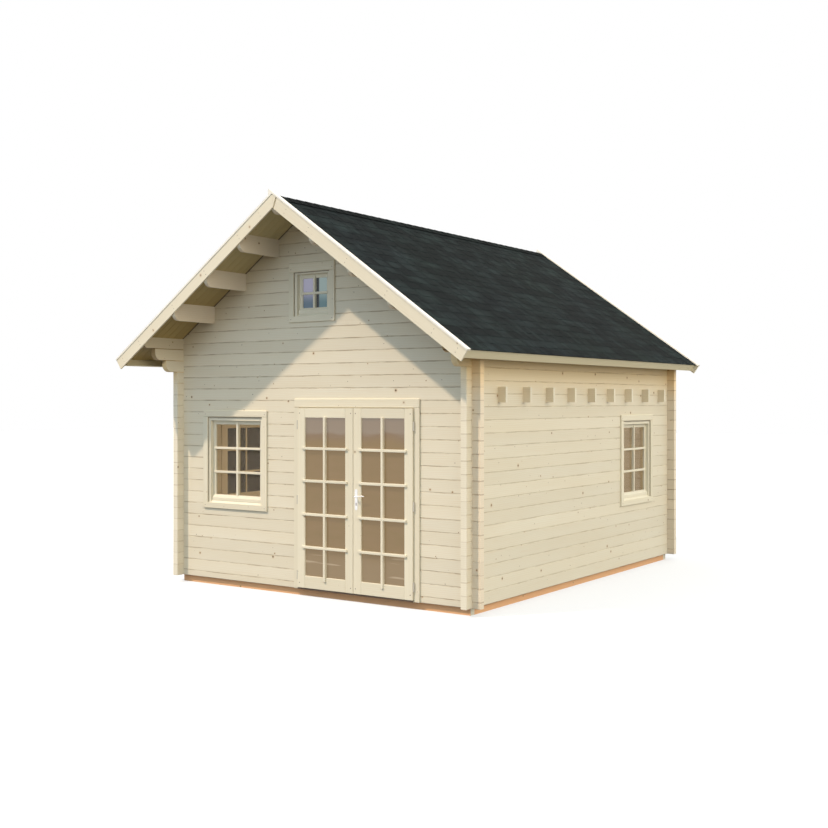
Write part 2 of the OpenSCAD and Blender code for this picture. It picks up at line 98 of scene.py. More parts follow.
# %% [markdown]
# ## Light
# A clear sky gives two kinds of light: a warm sun with edged shadows and a cool glow from
# everywhere else. Here the sun stands high off the left of the front, so the overhang shades the
# gable and leaves a bright triangle over the door. A broad warm fill lights the long side, and a
# weak one the back, as white walls near by would do.

# %% Sun and fills
def sun_lamp(name, toward, colour, strength, spread):
    """A lamp at infinity. Its light comes from the direction toward, spread over that many degrees."""
    lamp = bpy.data.lights.new(name, "SUN")
    lamp.color, lamp.energy, lamp.angle = colour, strength, math.radians(spread)
    holder = put(name, lamp)
    across = math.hypot(toward[0], toward[1])
    holder.rotation_euler = (math.atan2(across, toward[2]), 0, math.atan2(toward[1], toward[0]) + math.pi / 2)

sun_lamp("sun", (-3.575, -4.67, 7.44), (1.0, 0.80, 0.62), 2.95, 1.6)
sun_lamp("side_fill", (1.0, -0.10, 0.45), (1.0, 0.775, 0.482), 1.70, 70)
sun_lamp("back_fill", (0.1, 1.0, 0.40), (1.0, 0.86, 0.66), 0.9, 60)

# %% [markdown]
# Little daylight comes in through the panes, because rays that bend in glass carry no sun. A soft
# sheet of light under the ceiling, which no camera or mirror sees, stands for it.

# %% Room light
sheet = bpy.data.lights.new("room_glow", "AREA")
sheet.shape, sheet.size, sheet.size_y = "RECTANGLE", 3.4, 4.4
sheet.color, sheet.energy = (1.0, 0.86, 0.66), 34
room_glow = put("room_glow", sheet)
room_glow.location = (0, FRONT + 2.55, 2.10)
room_glow.visible_camera = room_glow.visible_glossy = room_glow.visible_transmission = False
print("room glow:", sheet.energy, "W")

# %% [markdown]
# ## Node helpers
# A material is a graph. These helpers keep the graphs short: they join a node's inputs, add any
# node, do one step of arithmetic, and mix two colours.

# %% Node helpers
def feed(tree, node, inputs):
    """Sets a node's inputs. Each is a plain value or another node's output."""
    for key, value in inputs.items():
        if isinstance(value, bpy.types.NodeSocket):
            tree.links.new(value, node.inputs[key])
        else:
            node.inputs[key].default_value = value

def add(tree, kind, inputs=None, **settings):
    """Adds a node with its settings and inputs."""
    made = tree.nodes.new("ShaderNode" + kind)
    for key, value in settings.items():
        setattr(made, key, value)
    feed(tree, made, inputs or {})
    return made

def calc(tree, operation, *values, clamp=False):
    """One arithmetic step on numbers or outputs."""
    return add(tree, "Math", dict(enumerate(values)), operation=operation, use_clamp=clamp).outputs[0]

def blend(tree, factor, first, second, how="MIX"):
    """Mixes two colours by a factor."""
    made = add(tree, "Mix", {0: factor, 6: first, 7: second}, data_type="RGBA", blend_type=how)
    return made.outputs[2]

def fade(tree, value, start, end):
    """1 where value is at start or before it, 0 from end on, and smooth between them."""
    made = add(tree, "MapRange", {"Value": value, "From Min": start, "From Max": end,
                                  "To Min": 1.0, "To Max": 0.0}, interpolation_type="SMOOTHSTEP")
    return made.outputs["Result"]

def rgb(red, green, blue):
    """A colour socket's value."""
    return (red, green, blue, 1.0)

print("node helpers ready")

# %% [markdown]
# ## World and floor
# The pale background is only for rays from the camera, and for reflections and views through
# glass. The light itself comes from a cool, weaker sky. The floor does the same: the camera sees it
# near white with the cabin's shadow on it, while it throws back only a modest light.

# %% World and floor
def emptied(data):
    """The node tree of a material or a world, cleared."""
    data.use_nodes = True
    data.node_tree.nodes.clear()
    return data.node_tree

def behind_all(tree):
    """1 for the rays that should see the pale background."""
    path = add(tree, "LightPath").outputs
    seen = calc(tree, "MAXIMUM", path["Is Camera Ray"], path["Is Glossy Ray"])
    return calc(tree, "MAXIMUM", seen, path["Is Transmission Ray"])

world = bpy.data.worlds.new("sky")
bpy.context.scene.world = world
sky = emptied(world)
glow = add(sky, "Background", {"Color": rgb(0.77, 0.90, 1.0), "Strength": 1.09})
pale = add(sky, "Background", {"Color": rgb(1, 1, 1), "Strength": 1.0})
either = add(sky, "MixShader", {0: behind_all(sky), 1: glow.outputs[0], 2: pale.outputs[0]})
add(sky, "OutputWorld", {"Surface": either.outputs[0]})

ground = bpy.data.materials.new("floor")
earth = emptied(ground)
dull = add(earth, "BsdfDiffuse", {"Color": rgb(0.12, 0.12, 0.12)})
bright = add(earth, "BsdfDiffuse", {"Color": rgb(0.42, 0.42, 0.42)})
lift = add(earth, "Emission", {"Color": rgb(1, 1, 1), "Strength": 0.55})
both = add(earth, "AddShader", {0: bright.outputs[0], 1: lift.outputs[0]})
shown = add(earth, "MixShader", {0: behind_all(earth), 1: dull.outputs[0], 2: both.outputs[0]})
add(earth, "OutputMaterial", {"Surface": shown.outputs[0]})

plane = bpy.data.meshes.new("floor")
plane.from_pydata([(-60, -60, 0), (60, -60, 0), (60, 60, 0), (-60, 60, 0)], [], [(0, 1, 2, 3)])
floor_piece = put("stage_floor", plane)
plane.materials.append(ground)
bpy.context.scene.view_settings.view_transform = "Standard"
print("floor and world ready")

# %% [markdown]
# ## Spruce
# Planed spruce is pale and a little yellow. What the eye reads as wood is four things laid over
# each other: fine fibres along the board, wider growth lines that bend round the knots, the knots
# themselves, and a slow drift of tone from board to board. All four are functions of a place
# measured in metres along, across and into the board, so they work on any piece whose place is
# known. Knots come from the points of a Voronoi pattern, because each point can carry its own size.

# %% Steps that the patterns share
def times(tree, one, other, clamp=False):
    """one * other."""
    return calc(tree, "MULTIPLY", one, other, clamp=clamp)

def ramp(tree, value, slope, start, clamp=False):
    """value * slope + start."""
    return calc(tree, "MULTIPLY_ADD", value, slope, start, clamp=clamp)

def scaled(tree, vector, *factors):
    """The vector times a factor for each part, which draws a pattern out or squeezes it."""
    return add(tree, "VectorMath", {0: vector, 1: factors}, operation="MULTIPLY").outputs[0]

def shifted(tree, vector, by):
    """The vector plus another."""
    return add(tree, "VectorMath", {0: vector, 1: by}).outputs[0]

def join(tree, *parts):
    """A vector from its parts."""
    return add(tree, "CombineXYZ", dict(enumerate(parts))).outputs[0]

def noise(tree, vector, scale, detail, rough=0.5):
    """Clouds from 0 to 1."""
    inputs = {"Vector": vector, "Scale": scale, "Detail": detail, "Roughness": rough}
    return add(tree, "TexNoise", inputs).outputs[0]

def split(tree, vector):
    """The three parts of a vector."""
    return add(tree, "SeparateXYZ", {0: vector}).outputs

print("pattern steps ready")

# %% Group: spruce
def group(name, inputs, outputs):
    """A new shader node group with its sockets and its two end nodes."""
    tree = bpy.data.node_groups.new(name, "ShaderNodeTree")
    for label, kind in inputs:
        tree.interface.new_socket(name=label, in_out="INPUT", socket_type="NodeSocket" + kind)
    for label, kind in outputs:
        tree.interface.new_socket(name=label, in_out="OUTPUT", socket_type="NodeSocket" + kind)
    return tree, tree.nodes.new("NodeGroupInput").outputs, tree.nodes.new("NodeGroupOutput")

def knot_layer(tree, place, cell, small, large, share):
    """Round spots at the points of a grid of cells. Gives distance over radius, and a random number."""
    cells = add(tree, "TexVoronoi", {"Vector": place, "Scale": 1 / cell}, voronoi_dimensions="2D")
    luck = add(tree, "SeparateColor", {0: cells.outputs["Color"]}).outputs
    radius = ramp(tree, luck[1], large - small, small)
    present = calc(tree, "LESS_THAN", luck[0], share)
    radius = ramp(tree, radius, present, 1e-5)
    return calc(tree, "DIVIDE", times(tree, cells.outputs["Distance"], cell), radius), luck[2]

spruce, given, result = group(
    "spruce",
    [("Place", "Vector"), ("Tone", "Float"), ("End", "Float"), ("Pale", "Color"), ("Warm", "Color"),
     ("Knots", "Float")],
    [("Color", "Color"), ("Roughness", "Float"), ("Height", "Float")])
place = given["Place"]
fibre = noise(spruce, scaled(spruce, place, 2.2, 110, 110), 1.0, 3.0, 0.62)
drift = noise(spruce, scaled(spruce, place, 0.55, 5.5, 5.5), 1.0, 2.0)
near, kind = knot_layer(spruce, place, 0.30, 0.002, 0.0125, 0.36)
pin = knot_layer(spruce, shifted(spruce, place, (3.7, 9.1, 0)), 0.21, 0.002, 0.006, 0.4)[0]
pull = fade(spruce, near, 1.0, 5.0)
across = split(spruce, place)[1]
rings = ramp(spruce, across, 330.0, times(spruce, drift, 24.0))
rings = calc(spruce, "SINE", ramp(spruce, pull, 7.0, rings))
rings = ramp(spruce, rings, 0.5, 0.5)
print("spruce: fibres, drift, knots and rings")

# %% Group: spruce, its colours
wood = blend(spruce, drift, given["Pale"], given["Warm"])
lines = times(spruce, rings, ramp(spruce, fibre, 0.9, -0.12), clamp=True)
wood = blend(spruce, times(spruce, lines, 0.34), wood, rgb(0.60, 0.43, 0.24))
pores = times(spruce, fade(spruce, fibre, 0.30, 0.44), 0.22)
wood = blend(spruce, pores, wood, rgb(0.66, 0.50, 0.30))
half = times(spruce, given["Knots"], 0.5)
halo = times(spruce, fade(spruce, near, 0.8, 2.6), half)
wood = blend(spruce, halo, wood, rgb(0.55, 0.37, 0.19))
heart = times(spruce, fade(spruce, near, 0.75, 1.05), given["Knots"])
heart_tone = blend(spruce, kind, rgb(0.10, 0.070, 0.045), rgb(0.30, 0.205, 0.115))
wood = blend(spruce, heart, wood, heart_tone)
speck = times(spruce, fade(spruce, pin, 0.6, 1.1), given["Knots"])
wood = blend(spruce, speck, wood, rgb(0.16, 0.10, 0.06))
cut = blend(spruce, rings, rgb(0.790, 0.740, 0.605), rgb(0.760, 0.705, 0.565))
wood = blend(spruce, given["End"], wood, cut)
level = ramp(spruce, given["Tone"], 0.07, 0.965)
wood = blend(spruce, 1.0, wood, join(spruce, level, level, level), "MULTIPLY")
relief = ramp(spruce, lines, -0.5, times(spruce, fibre, 0.8))
relief = calc(spruce, "SUBTRACT", relief, times(spruce, heart, 0.5))
rough = ramp(spruce, fibre, 0.22, 0.50)
feed(spruce, result, {"Color": wood, "Roughness": rough, "Height": relief})
print("spruce group:", len(spruce.nodes), "nodes")

# %% [markdown]
# ## Logs
# The CAD walls are single solids with V joints. On the real walls each course is its own log, so
# the pattern must break at every joint. This group works out from the height which log a point is
# on, gives that log its own random shift and tone, and marks the joint, where dust and shadow
# gather. The end walls start with half a log, so their joints fall half a course off.

# %% Group: log courses
def luck_of(tree, key):
    """Random numbers that belong to a key: one as Value and three as Color."""
    return add(tree, "TexWhiteNoise", {"W": key}, noise_dimensions="1D").outputs

courses, given, result = group(
    "log courses", [(label, "Float") for label in ("Along", "Through", "Up", "Shift", "Wall")],
    [("Place", "Vector"), ("Tone", "Float"), ("Joint", "Float")])
count = ramp(courses, given["Up"], 1 / COURSE, -FOOT / COURSE)
count = calc(courses, "ADD", count, given["Shift"])
number = calc(courses, "FLOOR", count)
inside = times(courses, calc(courses, "SUBTRACT", count, number), COURSE)
key = ramp(courses, given["Wall"], 57.0, number)
luck = luck_of(courses, key)
three = add(courses, "SeparateColor", {0: luck["Color"]}).outputs
spot = join(courses, ramp(courses, three[0], 37.0, given["Along"]), ramp(courses, three[1], 23.0, inside),
            ramp(courses, three[2], 11.0, given["Through"]))
edge = calc(courses, "MINIMUM", inside, calc(courses, "SUBTRACT", COURSE, inside))
line = ramp(courses, key, 13.7, times(courses, given["Along"], 2.6))
breaks = add(courses, "TexNoise", {"W": line, "Scale": 1.0, "Detail": 3.0, "Roughness": 0.6},
             noise_dimensions="1D").outputs[0]
breaks = ramp(courses, breaks, 5.0, -2.05, clamp=True)
breaks = ramp(courses, breaks, 0.88, 0.12)
joint = times(courses, fade(courses, edge, 0.0030, 0.0085), breaks)
feed(courses, result, {"Place": spot, "Tone": luck["Value"], "Joint": joint})
print("log courses group:", len(courses.nodes), "nodes")

# %% [markdown]
# ## Wood materials
# Every wood material is the spruce group with a different sense of place. On a wall it comes from
# the course group, on a plain CAD beam from Object coordinates turned so that the first axis runs
# with the grain, and on the new boards from their own UV map, whose unit is the metre.

# %% Wood materials: shared parts
PALE, WARM = rgb(0.758, 0.725, 0.606), rgb(0.711, 0.650, 0.502)
GRAIN_DEPTH = 0.0006                 # height of the fibres over the pores

def here(tree):
    """The place on the piece, in metres of the cabin's frame."""
    return add(tree, "TexCoord").outputs["Object"]

def bump(tree, height, depth, strength):
    """A normal that leans as the height rises and falls over that depth."""
    return add(tree, "Bump", {"Height": height, "Distance": depth, "Strength": strength}).outputs[0]

def blank(name):
    """A material with a shader and an output, ready for its colour."""
    material = bpy.data.materials.new(name)
    tree = emptied(material)
    shader = add(tree, "BsdfPrincipled")
    add(tree, "OutputMaterial", {"Surface": shader.outputs[0]})
    return material, tree, shader

def use_group(tree, which, inputs):
    """Places a node group in a material."""
    made = add(tree, "Group", node_tree=which)
    feed(tree, made, inputs)
    return made.outputs

def finish_wood(tree, shader, place, tone, end, pale=PALE, warm=WARM, knots=1.0, stains_and_shades=()):
    """Feeds the shader from the spruce group. Each stain and each patch of painted shade on it is a factor, a
    colour and the way that it mixes."""
    out = use_group(tree, spruce, {"Place": place, "Tone": tone, "End": end, "Pale": pale, "Warm": warm,
                                   "Knots": knots})
    colour = out["Color"]
    for factor, stain_and_shade, how in stains_and_shades:
        colour = blend(tree, factor, colour, stain_and_shade, how)
    feed(tree, shader, {"Base Color": colour, "Roughness": out["Roughness"], "Specular IOR Level": 0.3,
                        "Normal": bump(tree, out["Height"], GRAIN_DEPTH, 0.6)})

def facing(tree, axis):
    """1 on faces that look along an axis of the piece, which are its sawn ends."""
    normal = split(tree, add(tree, "TexCoord").outputs["Normal"])[axis]
    return calc(tree, "GREATER_THAN", calc(tree, "ABSOLUTE", normal), 0.8)

print("wood colours:", PALE[:3], WARM[:3])

# %% Wood materials: logs
SIDE_WALLS = 2.0                     # from here outwards the side walls and log ends lie
HIDDEN = 0.20                        # what the fascia hides of a side wall, from the boards down
FASCIA_UP = 0.045                    # from the fascia's foot up to where the painted shadow band on the wall is full
EAVE_LINE = RIDGE - HIDDEN - HALF_W * math.tan(PITCH) - (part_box("eave_fascias")[0].z + FASCIA_UP)

def log_material(name, along, shift):
    """Wood for a CAD wall whose logs run along axis 0 or 1. Close under the roof boards it carries painted
    shade on the gable and painted warm bounced light on the side walls and the log ends past them, and a
    painted shadow band under the fascia."""
    material, tree, shader = blank(name)
    xyz = split(tree, here(tree))
    out = use_group(tree, courses, {"Along": xyz[along], "Through": xyz[1 - along], "Up": xyz[2],
                                    "Shift": shift, "Wall": calc(tree, "SIGN", xyz[1 - along])})
    # Painted shade close under the roof boards on the gable, painted warm bounced light on the side walls.
    aside = calc(tree, "ABSOLUTE", xyz[0])
    depth = calc(tree, "SUBTRACT", ramp(tree, aside, -math.tan(PITCH), RIDGE), xyz[2])
    beyond = calc(tree, "GREATER_THAN", aside, SIDE_WALLS)
    eave_shade_and_bounce = blend(tree, beyond, rgb(0.80, 0.755, 0.68), rgb(1.16, 0.99, 0.70))
    depth = ramp(tree, beyond, -HIDDEN, depth)
    colour = blend(tree, fade(tree, depth, 0.04, 0.50), rgb(1.0, 1.0, 1.0), eave_shade_and_bounce)
    # The log ends past the side walls get a little painted warm bounced light.
    if along == 0:
        colour = blend(tree, beyond, colour, rgb(1.01, 0.955, 0.93), "MULTIPLY")
    else:
        # Painted shadow band on the side walls under the fascia.
        fascia_shadow_band = times(tree, beyond, fade(tree, depth, EAVE_LINE, EAVE_LINE + FASCIA_UP))
        colour = blend(tree, fascia_shadow_band, colour, rgb(0.50, 0.40, 0.26))
    # Painted shade and dust in the log joints.
    dust_and_shade = times(tree, out["Joint"], 0.40 if along else 0.62)
    finish_wood(tree, shader, out["Place"], out["Tone"], facing(tree, along),
                stains_and_shades=[(dust_and_shade, rgb(0.30, 0.21, 0.12), "MIX"), (1.0, colour, "MULTIPLY")])
    return material

print("level of the fascia on the wall, from the boards down:", round(EAVE_LINE, 3))

# %% Wood materials: beams
def beam_material(name, along, step, pale=PALE, warm=WARM, knots=1.0, slope=False):
    """Wood for plain CAD beams that run along an axis. Beams a step apart differ from each other."""
    material, tree, shader = blank(name)
    xyz = split(tree, here(tree))
    if slope:
        flat = join(tree, calc(tree, "ABSOLUTE", xyz[0]), xyz[1], xyz[2])
        turned = add(tree, "VectorRotate", {"Vector": flat, "Angle": -PITCH}, rotation_type="Y_AXIS")
        parts = split(tree, turned.outputs[0])
        order = (parts[0], parts[2], parts[1])
        key = ramp(tree, calc(tree, "SIGN", xyz[0]), 3.3, calc(tree, "SIGN", xyz[1]))
        end = 0.0
    else:
        other = 1 - along if along < 2 else 0
        order = (xyz[along], xyz[2] if along < 2 else xyz[1], xyz[other])
        key = calc(tree, "ROUND", calc(tree, "DIVIDE", xyz[other], step))
        end = facing(tree, along)
    luck = luck_of(tree, key)
    place = shifted(tree, join(tree, *order), scaled(tree, luck["Color"], 31.0, 17.0, 9.0))
    finish_wood(tree, shader, place, luck["Value"], end, pale=pale, warm=warm, knots=knots)
    return material

print("grain runs along X, Y, Z or down the slope")

# %% Wood materials: the woods of the CAD nodes
LOGS_ACROSS = log_material("logs_end_walls", 0, 0.5)
LOGS_ALONG = log_material("logs_side_walls", 1, 0.0)
BEAMS_X = beam_material("spruce_along_x", 0, 0.5265)
UPRIGHT = beam_material("spruce_upright", 2, 1.0)
BEAMS_Y = beam_material("spruce_along_y", 1, 0.5, rgb(0.735, 0.664, 0.548), rgb(0.690, 0.600, 0.455))
JOIST_WOOD = beam_material("joist_wood", 0, 0.5265, rgb(0.815, 0.735, 0.575), rgb(0.76, 0.66, 0.475))
VERGE_WOOD = beam_material("spruce_down_slope", 0, 1.0, rgb(0.79, 0.755, 0.625), knots=0.7, slope=True)
CAP_WOOD = beam_material("verge_cap_wood", 0, 1.0, rgb(0.87, 0.86, 0.80), rgb(0.84, 0.82, 0.75), 0.2,
                         slope=True)
FASCIA_WOOD = beam_material("fascia_wood", 1, 0.5, rgb(0.70, 0.655, 0.465), rgb(0.66, 0.59, 0.39))
BROWN = (rgb(0.86, 0.50, 0.265), rgb(0.74, 0.40, 0.20))
BASE_X = beam_material("base_along_x", 0, 4.0, *BROWN)
BASE_Y = beam_material("base_along_y", 1, 3.0, *BROWN)
DARK_X = beam_material("threshold_wood", 0, 4.0, rgb(0.115, 0.085, 0.065), rgb(0.085, 0.06, 0.045), knots=0.0)
print("wood materials on CAD nodes:", len([m for m in bpy.data.materials if m.users == 0]))

# %% Wood materials: boards with their own map
def board_material(name, pale=PALE, warm=WARM, knots=1.0, painted_shade=False):
    """Wood for the new boards: the UV map gives metres along and across each board. Boards with painted shade
    get a dark painted shadow line where they pass over the front wall, and painted shade that darkens them
    towards the eaves."""
    material, tree, shader = blank(name)
    uv = add(tree, "UVMap", uv_map="grain").outputs[0]
    tone = add(tree, "Attribute", attribute_name="tone").outputs["Fac"]
    end = add(tree, "Attribute", attribute_name="sawn_end").outputs["Fac"]
    place = shifted(tree, uv, join(tree, 0.0, 0.0, times(tree, tone, 30.0)))
    stains_and_shades = []
    if painted_shade:
        # Painted shade: a dark line over the front wall, and a darker, browner tone towards the eaves.
        spot = split(tree, here(tree))
        near = fade(tree, calc(tree, "ABSOLUTE", calc(tree, "SUBTRACT", spot[1], FRONT)), 0.014, 0.030)
        low = fade(tree, calc(tree, "ABSOLUTE", spot[0]), 0.5, 1.7)
        low = blend(tree, low, rgb(0.74, 0.66, 0.50), rgb(1.0, 1.0, 1.0))
        stains_and_shades = [(1.0, low, "MULTIPLY"), (times(tree, near, 0.85), rgb(0.06, 0.045, 0.03), "MIX")]
    finish_wood(tree, shader, place, tone, end, pale=pale, warm=warm, knots=knots, stains_and_shades=stains_and_shades)
    return material

TRIM_WOOD = board_material("trim_boards", rgb(0.767, 0.735, 0.604), rgb(0.730, 0.675, 0.520), 0.6)
SASH_WOOD = board_material("sash_wood", rgb(0.772, 0.74, 0.614), rgb(0.744, 0.70, 0.556), 0.2)
SOFFIT_WOOD = board_material("roof_boards", rgb(0.475, 0.41, 0.22), rgb(0.43, 0.355, 0.18), 0.8, painted_shade=True)
FLOOR_WOOD = board_material("floor_boards", rgb(0.74, 0.60, 0.42), rgb(0.68, 0.53, 0.35), 0.9)
print("board materials:", TRIM_WOOD.name, SASH_WOOD.name, SOFFIT_WOOD.name, FLOOR_WOOD.name)

# %% [markdown]
# ## Skins
# Boards, tubes, nail heads and plates are all the same kind of surface: rings of points joined
# one after the other, closed at both ends. One function turns an array of rings, for any number
# of items at once, into one mesh with a UV map in metres, a random tone for each item and a mark
# on the sawn ends.

# %% Skin: rings to mesh
def unit(vectors, tiny=0.0):
    """Each vector over its length."""
    return vectors / (np.linalg.norm(vectors, axis=-1, keepdims=True) + tiny)

def skin(name, rings, body, material, smooth=False, shift=True):
    """rings[item, section, point] are points. Neighbouring rings are joined by quads, and the first
    and last are closed. U is the distance along the sections and V the distance round a ring."""
    rings = np.asarray(rings, float)
    items, sections, points = rings.shape[:3]
    index = np.arange(items * sections * points).reshape(items, sections, points)
    after = np.roll(index, -1, axis=2)
    quads = np.stack([index[:, :-1], after[:, :-1], after[:, 1:], index[:, 1:]], -1).reshape(-1, 4)
    caps = np.concatenate([index[:, 0, ::-1], index[:, -1]])
    mesh = bpy.data.meshes.new(name)
    mesh.from_pydata(rings.reshape(-1, 3).tolist(), [], quads.tolist() + caps.tolist())

    middle = rings.mean(axis=2)
    along = np.cumsum(np.linalg.norm(np.diff(middle, axis=1, prepend=middle[:, :1]), axis=2), axis=1)
    step = np.linalg.norm(np.roll(rings, -1, axis=2) - rings, axis=3)
    around = np.concatenate([np.zeros((items, sections, 1)), np.cumsum(step, axis=2)], axis=2)
    u = np.repeat(along[:, :, None], points + 1, axis=2)
    grid = np.stack([u, around], -1)
    if shift:
        grid += chance.uniform(0, 40, (items, 1, 1, 1)) * (1.0, 0.4)
    sides = np.stack([grid[:, :-1, :-1], grid[:, :-1, 1:], grid[:, 1:, 1:], grid[:, 1:, :-1]], -2)
    one, way = unit(rings[:, :, 0] - middle, 1e-9), unit(middle[:, -1] - middle[:, 0], 1e-9)
    ends = []
    for section, order in ((0, slice(None, None, -1)), (-1, slice(None))):
        out = rings[:, section, order] - middle[:, section, None]
        two = np.cross(way, one[:, section])
        ends.append(np.stack([(out * one[:, section, None]).sum(-1), (out * two[:, None]).sum(-1)], -1))
    uv = np.concatenate([sides.reshape(-1, 2), np.concatenate(ends).reshape(-1, 2)])
    mesh.uv_layers.new(name="grain").data.foreach_set("uv", uv.astype(np.float32).ravel())

    tone = chance.uniform(0, 1, items)
    per_face = np.concatenate([np.repeat(tone, (sections - 1) * points), tone, tone])
    sawn = np.concatenate([np.zeros(len(quads)), np.ones(len(caps))])
    for label, values in (("tone", per_face), ("sawn_end", sawn)):
        mesh.attributes.new(label, "FLOAT", "FACE").data.foreach_set("value", values.astype(np.float32))
    mesh.polygons.foreach_set("use_smooth", np.full(len(mesh.polygons), smooth))
    mesh.materials.append(material)
    mesh.update()
    piece = put(name, mesh)
    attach(piece, body)
    print(name, items, "item(s)", len(mesh.polygons), "faces")
    return piece

# %% [markdown]
# ## Boards
# A planed board is a long box whose edges have been eased with a few strokes of a plane. The eased
# edge is tiny, yet it catches the light and draws every outline, so each board gets it. A board
# is given by its start corner and three edges, which suits boards at any angle.

# %% Boards
def box(x0, x1, y0, y1, z0, z1, along):
    """A board that fills a box, with its grain along axis 0, 1 or 2: start, run, width and depth."""
    low, size = np.array([x0, y0, z0], float), np.array([x1 - x0, y1 - y0, z1 - z0], float)
    edges = np.diag(size)
    first, second = [i for i in (0, 1, 2) if i != along]
    return np.array([low, edges[along], edges[first], edges[second]])

def planks(name, boards, body, material, ease=0.002, per_corner=2):
    """A rectangle with eased corners is carried along each board's run. Its points are
    start + run * t + width * a + depth * b, and the end sections are drawn in by the ease."""
    boards = np.array(boards, float)
    start, run, wide, deep = (boards[:, i] for i in range(4))
    left = np.einsum("ij,ij->i", np.cross(wide, deep), run) < 0
    start = np.where(left[:, None], start + wide, start)
    wide = np.where(left[:, None], -wide, wide)
    length, width, depth = (np.linalg.norm(v, axis=1)[:, None] for v in (run, wide, deep))
    if per_corner > 1:
        turn, soft = np.linspace(0, math.pi / 2, per_corner), ease
        t = np.concatenate([0 * length, soft + 0 * length, length - soft, length], axis=1)
        shrink = np.array([1.0, 0.0, 0.0, 1.0]) * 1.4 * soft
    else:
        turn, soft = np.array([math.pi / 4]), 0.0
        t, shrink = np.concatenate([0 * length, length], axis=1), np.zeros(2)
    angle = np.concatenate([math.pi + turn, 1.5 * math.pi + turn, turn, 0.5 * math.pi + turn])

    def spread(size, far, swing):
        """Places from edge to edge: far * size, eased, and nearer the middle in the end sections."""
        far = np.repeat(far, per_corner)
        flat = far * size + soft * (1 - 2 * far) + soft * swing
        size = size[:, :, None]
        return size / 2 + (flat[:, None] - size / 2) * (1 - shrink[None, :, None] / size)

    a, b = spread(width, [0, 1, 1, 0], np.cos(angle)), spread(depth, [0, 0, 1, 1], np.sin(angle))
    rings = (start[:, None, None] + t[:, :, None, None] * (run / length)[:, None, None]
             + a[..., None] * (wide / width)[:, None, None] + b[..., None] * (deep / depth)[:, None, None])
    return skin(name, rings, body, material)

# %% [markdown]
# ## Roof boards
# Tongued and grooved boards are nailed down the slope over the purlins. From below they show as a
# soffit with a fine joint every nine or ten centimetres. Each is a board of its own here, so the
# joints are real and the tone changes from board to board.

# %% Roof boards
def on_slope(side, u, y, v):
    """A point u down the slope from the ridge and v out of the roof plane, on the side -1 or 1."""
    u, y, v = np.broadcast_arrays(np.asarray(u, float), y, v)
    across, down = math.cos(PITCH), math.sin(PITCH)
    return np.stack([side * (u * across + v * down), y, RIDGE - u * down + v * across], -1)

SIDES = ((-1, "left"), (1, "right"))
for side, label in SIDES:
    edges = np.linspace(VERGE[0], VERGE[1], 63)
    y0, y1 = edges[:-1] + 0.0004, edges[1:] - 0.0004
    corner = on_slope(side, 0.014, y0, 0.0)
    run = on_slope(side, RUN - 0.020, y0, 0.0) - corner
    deep = on_slope(side, 0.014, y0, DECK) - corner
    wide = np.stack([0 * y0, y1 - y0, 0 * y0], -1)
    made = planks(f"roof_boards_{label}", np.stack([corner, run, wide, deep], 1), "cabin",
                  SOFFIT_WOOD, ease=0.003)
    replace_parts(made, f"roof_deck_{label}")

# %% [markdown]
# ## Shingles
# Bitumen shingles are laid in courses from the eave upwards, each lapping the one below. These are
# the laminated kind: under sheets with a second layer of tabs of random width, which gives the roof
# its broken pattern. A tab is a thin slab that lies on its sheet and tilts with the lap.

# %% Shingles
EXPOSURE = 0.143
SHINGLE_TOP = 0.029

def slab(side, u0, u1, y0, y1, low0, low1, high0, high1):
    """Rings of slabs on the slope between two places u and two places y, with their heights at both."""
    rings = []
    for u, low, high in ((u0, low0, high0), (u1, low1, high1)):
        corners = [on_slope(side, u, y0, low), on_slope(side, u, y1, low),
                   on_slope(side, u, y1, high), on_slope(side, u, y0, high)]
        rings.append(np.stack(corners, 1))
    rings = np.stack(rings, 1)
    return rings[:, :, ::-1] if side > 0 else rings

def shingle_rings(side):
    """Under sheets for every course, and tabs of random width over them."""
    eave = RUN + 0.010
    lower = eave - EXPOSURE * np.arange(int(eave / EXPOSURE) + 1)
    upper = np.maximum(lower - EXPOSURE - 0.03, 0.002)
    sheet = slab(side, upper, lower, VERGE[0] + 0 * lower, VERGE[1] + 0 * lower, DECK, DECK, 0.0240, 0.0258)
    tab_u, tab_y0, tab_y1 = [], [], []
    for u in lower:
        widths = chance.uniform(0.07, 0.21, 90)
        gaps = chance.uniform(0.03, 0.12, 90)
        ends = np.cumsum(widths + gaps) + VERGE[0] - chance.uniform(0, 0.2)
        starts = ends - widths
        keep = (starts > VERGE[0]) & (ends < VERGE[1])
        tab_u.append(np.full(keep.sum(), u))
        tab_y0.append(starts[keep])
        tab_y1.append(ends[keep])
    u, y0, y1 = (np.concatenate(v) for v in (tab_u, tab_y0, tab_y1))
    tabs = slab(side, np.maximum(u - EXPOSURE, 0.001), u, y0, y1, 0.0236, 0.0254, 0.0252, 0.0276)
    return np.concatenate([sheet, tabs])

print("shingle courses on each slope:", int((RUN + 0.010) / EXPOSURE) + 1)

# %% [markdown]
# Their face is crushed slate on bitumen: dark, dull and finely speckled, with cloudy patches
# of bluer and greener grains that come from the mixing.

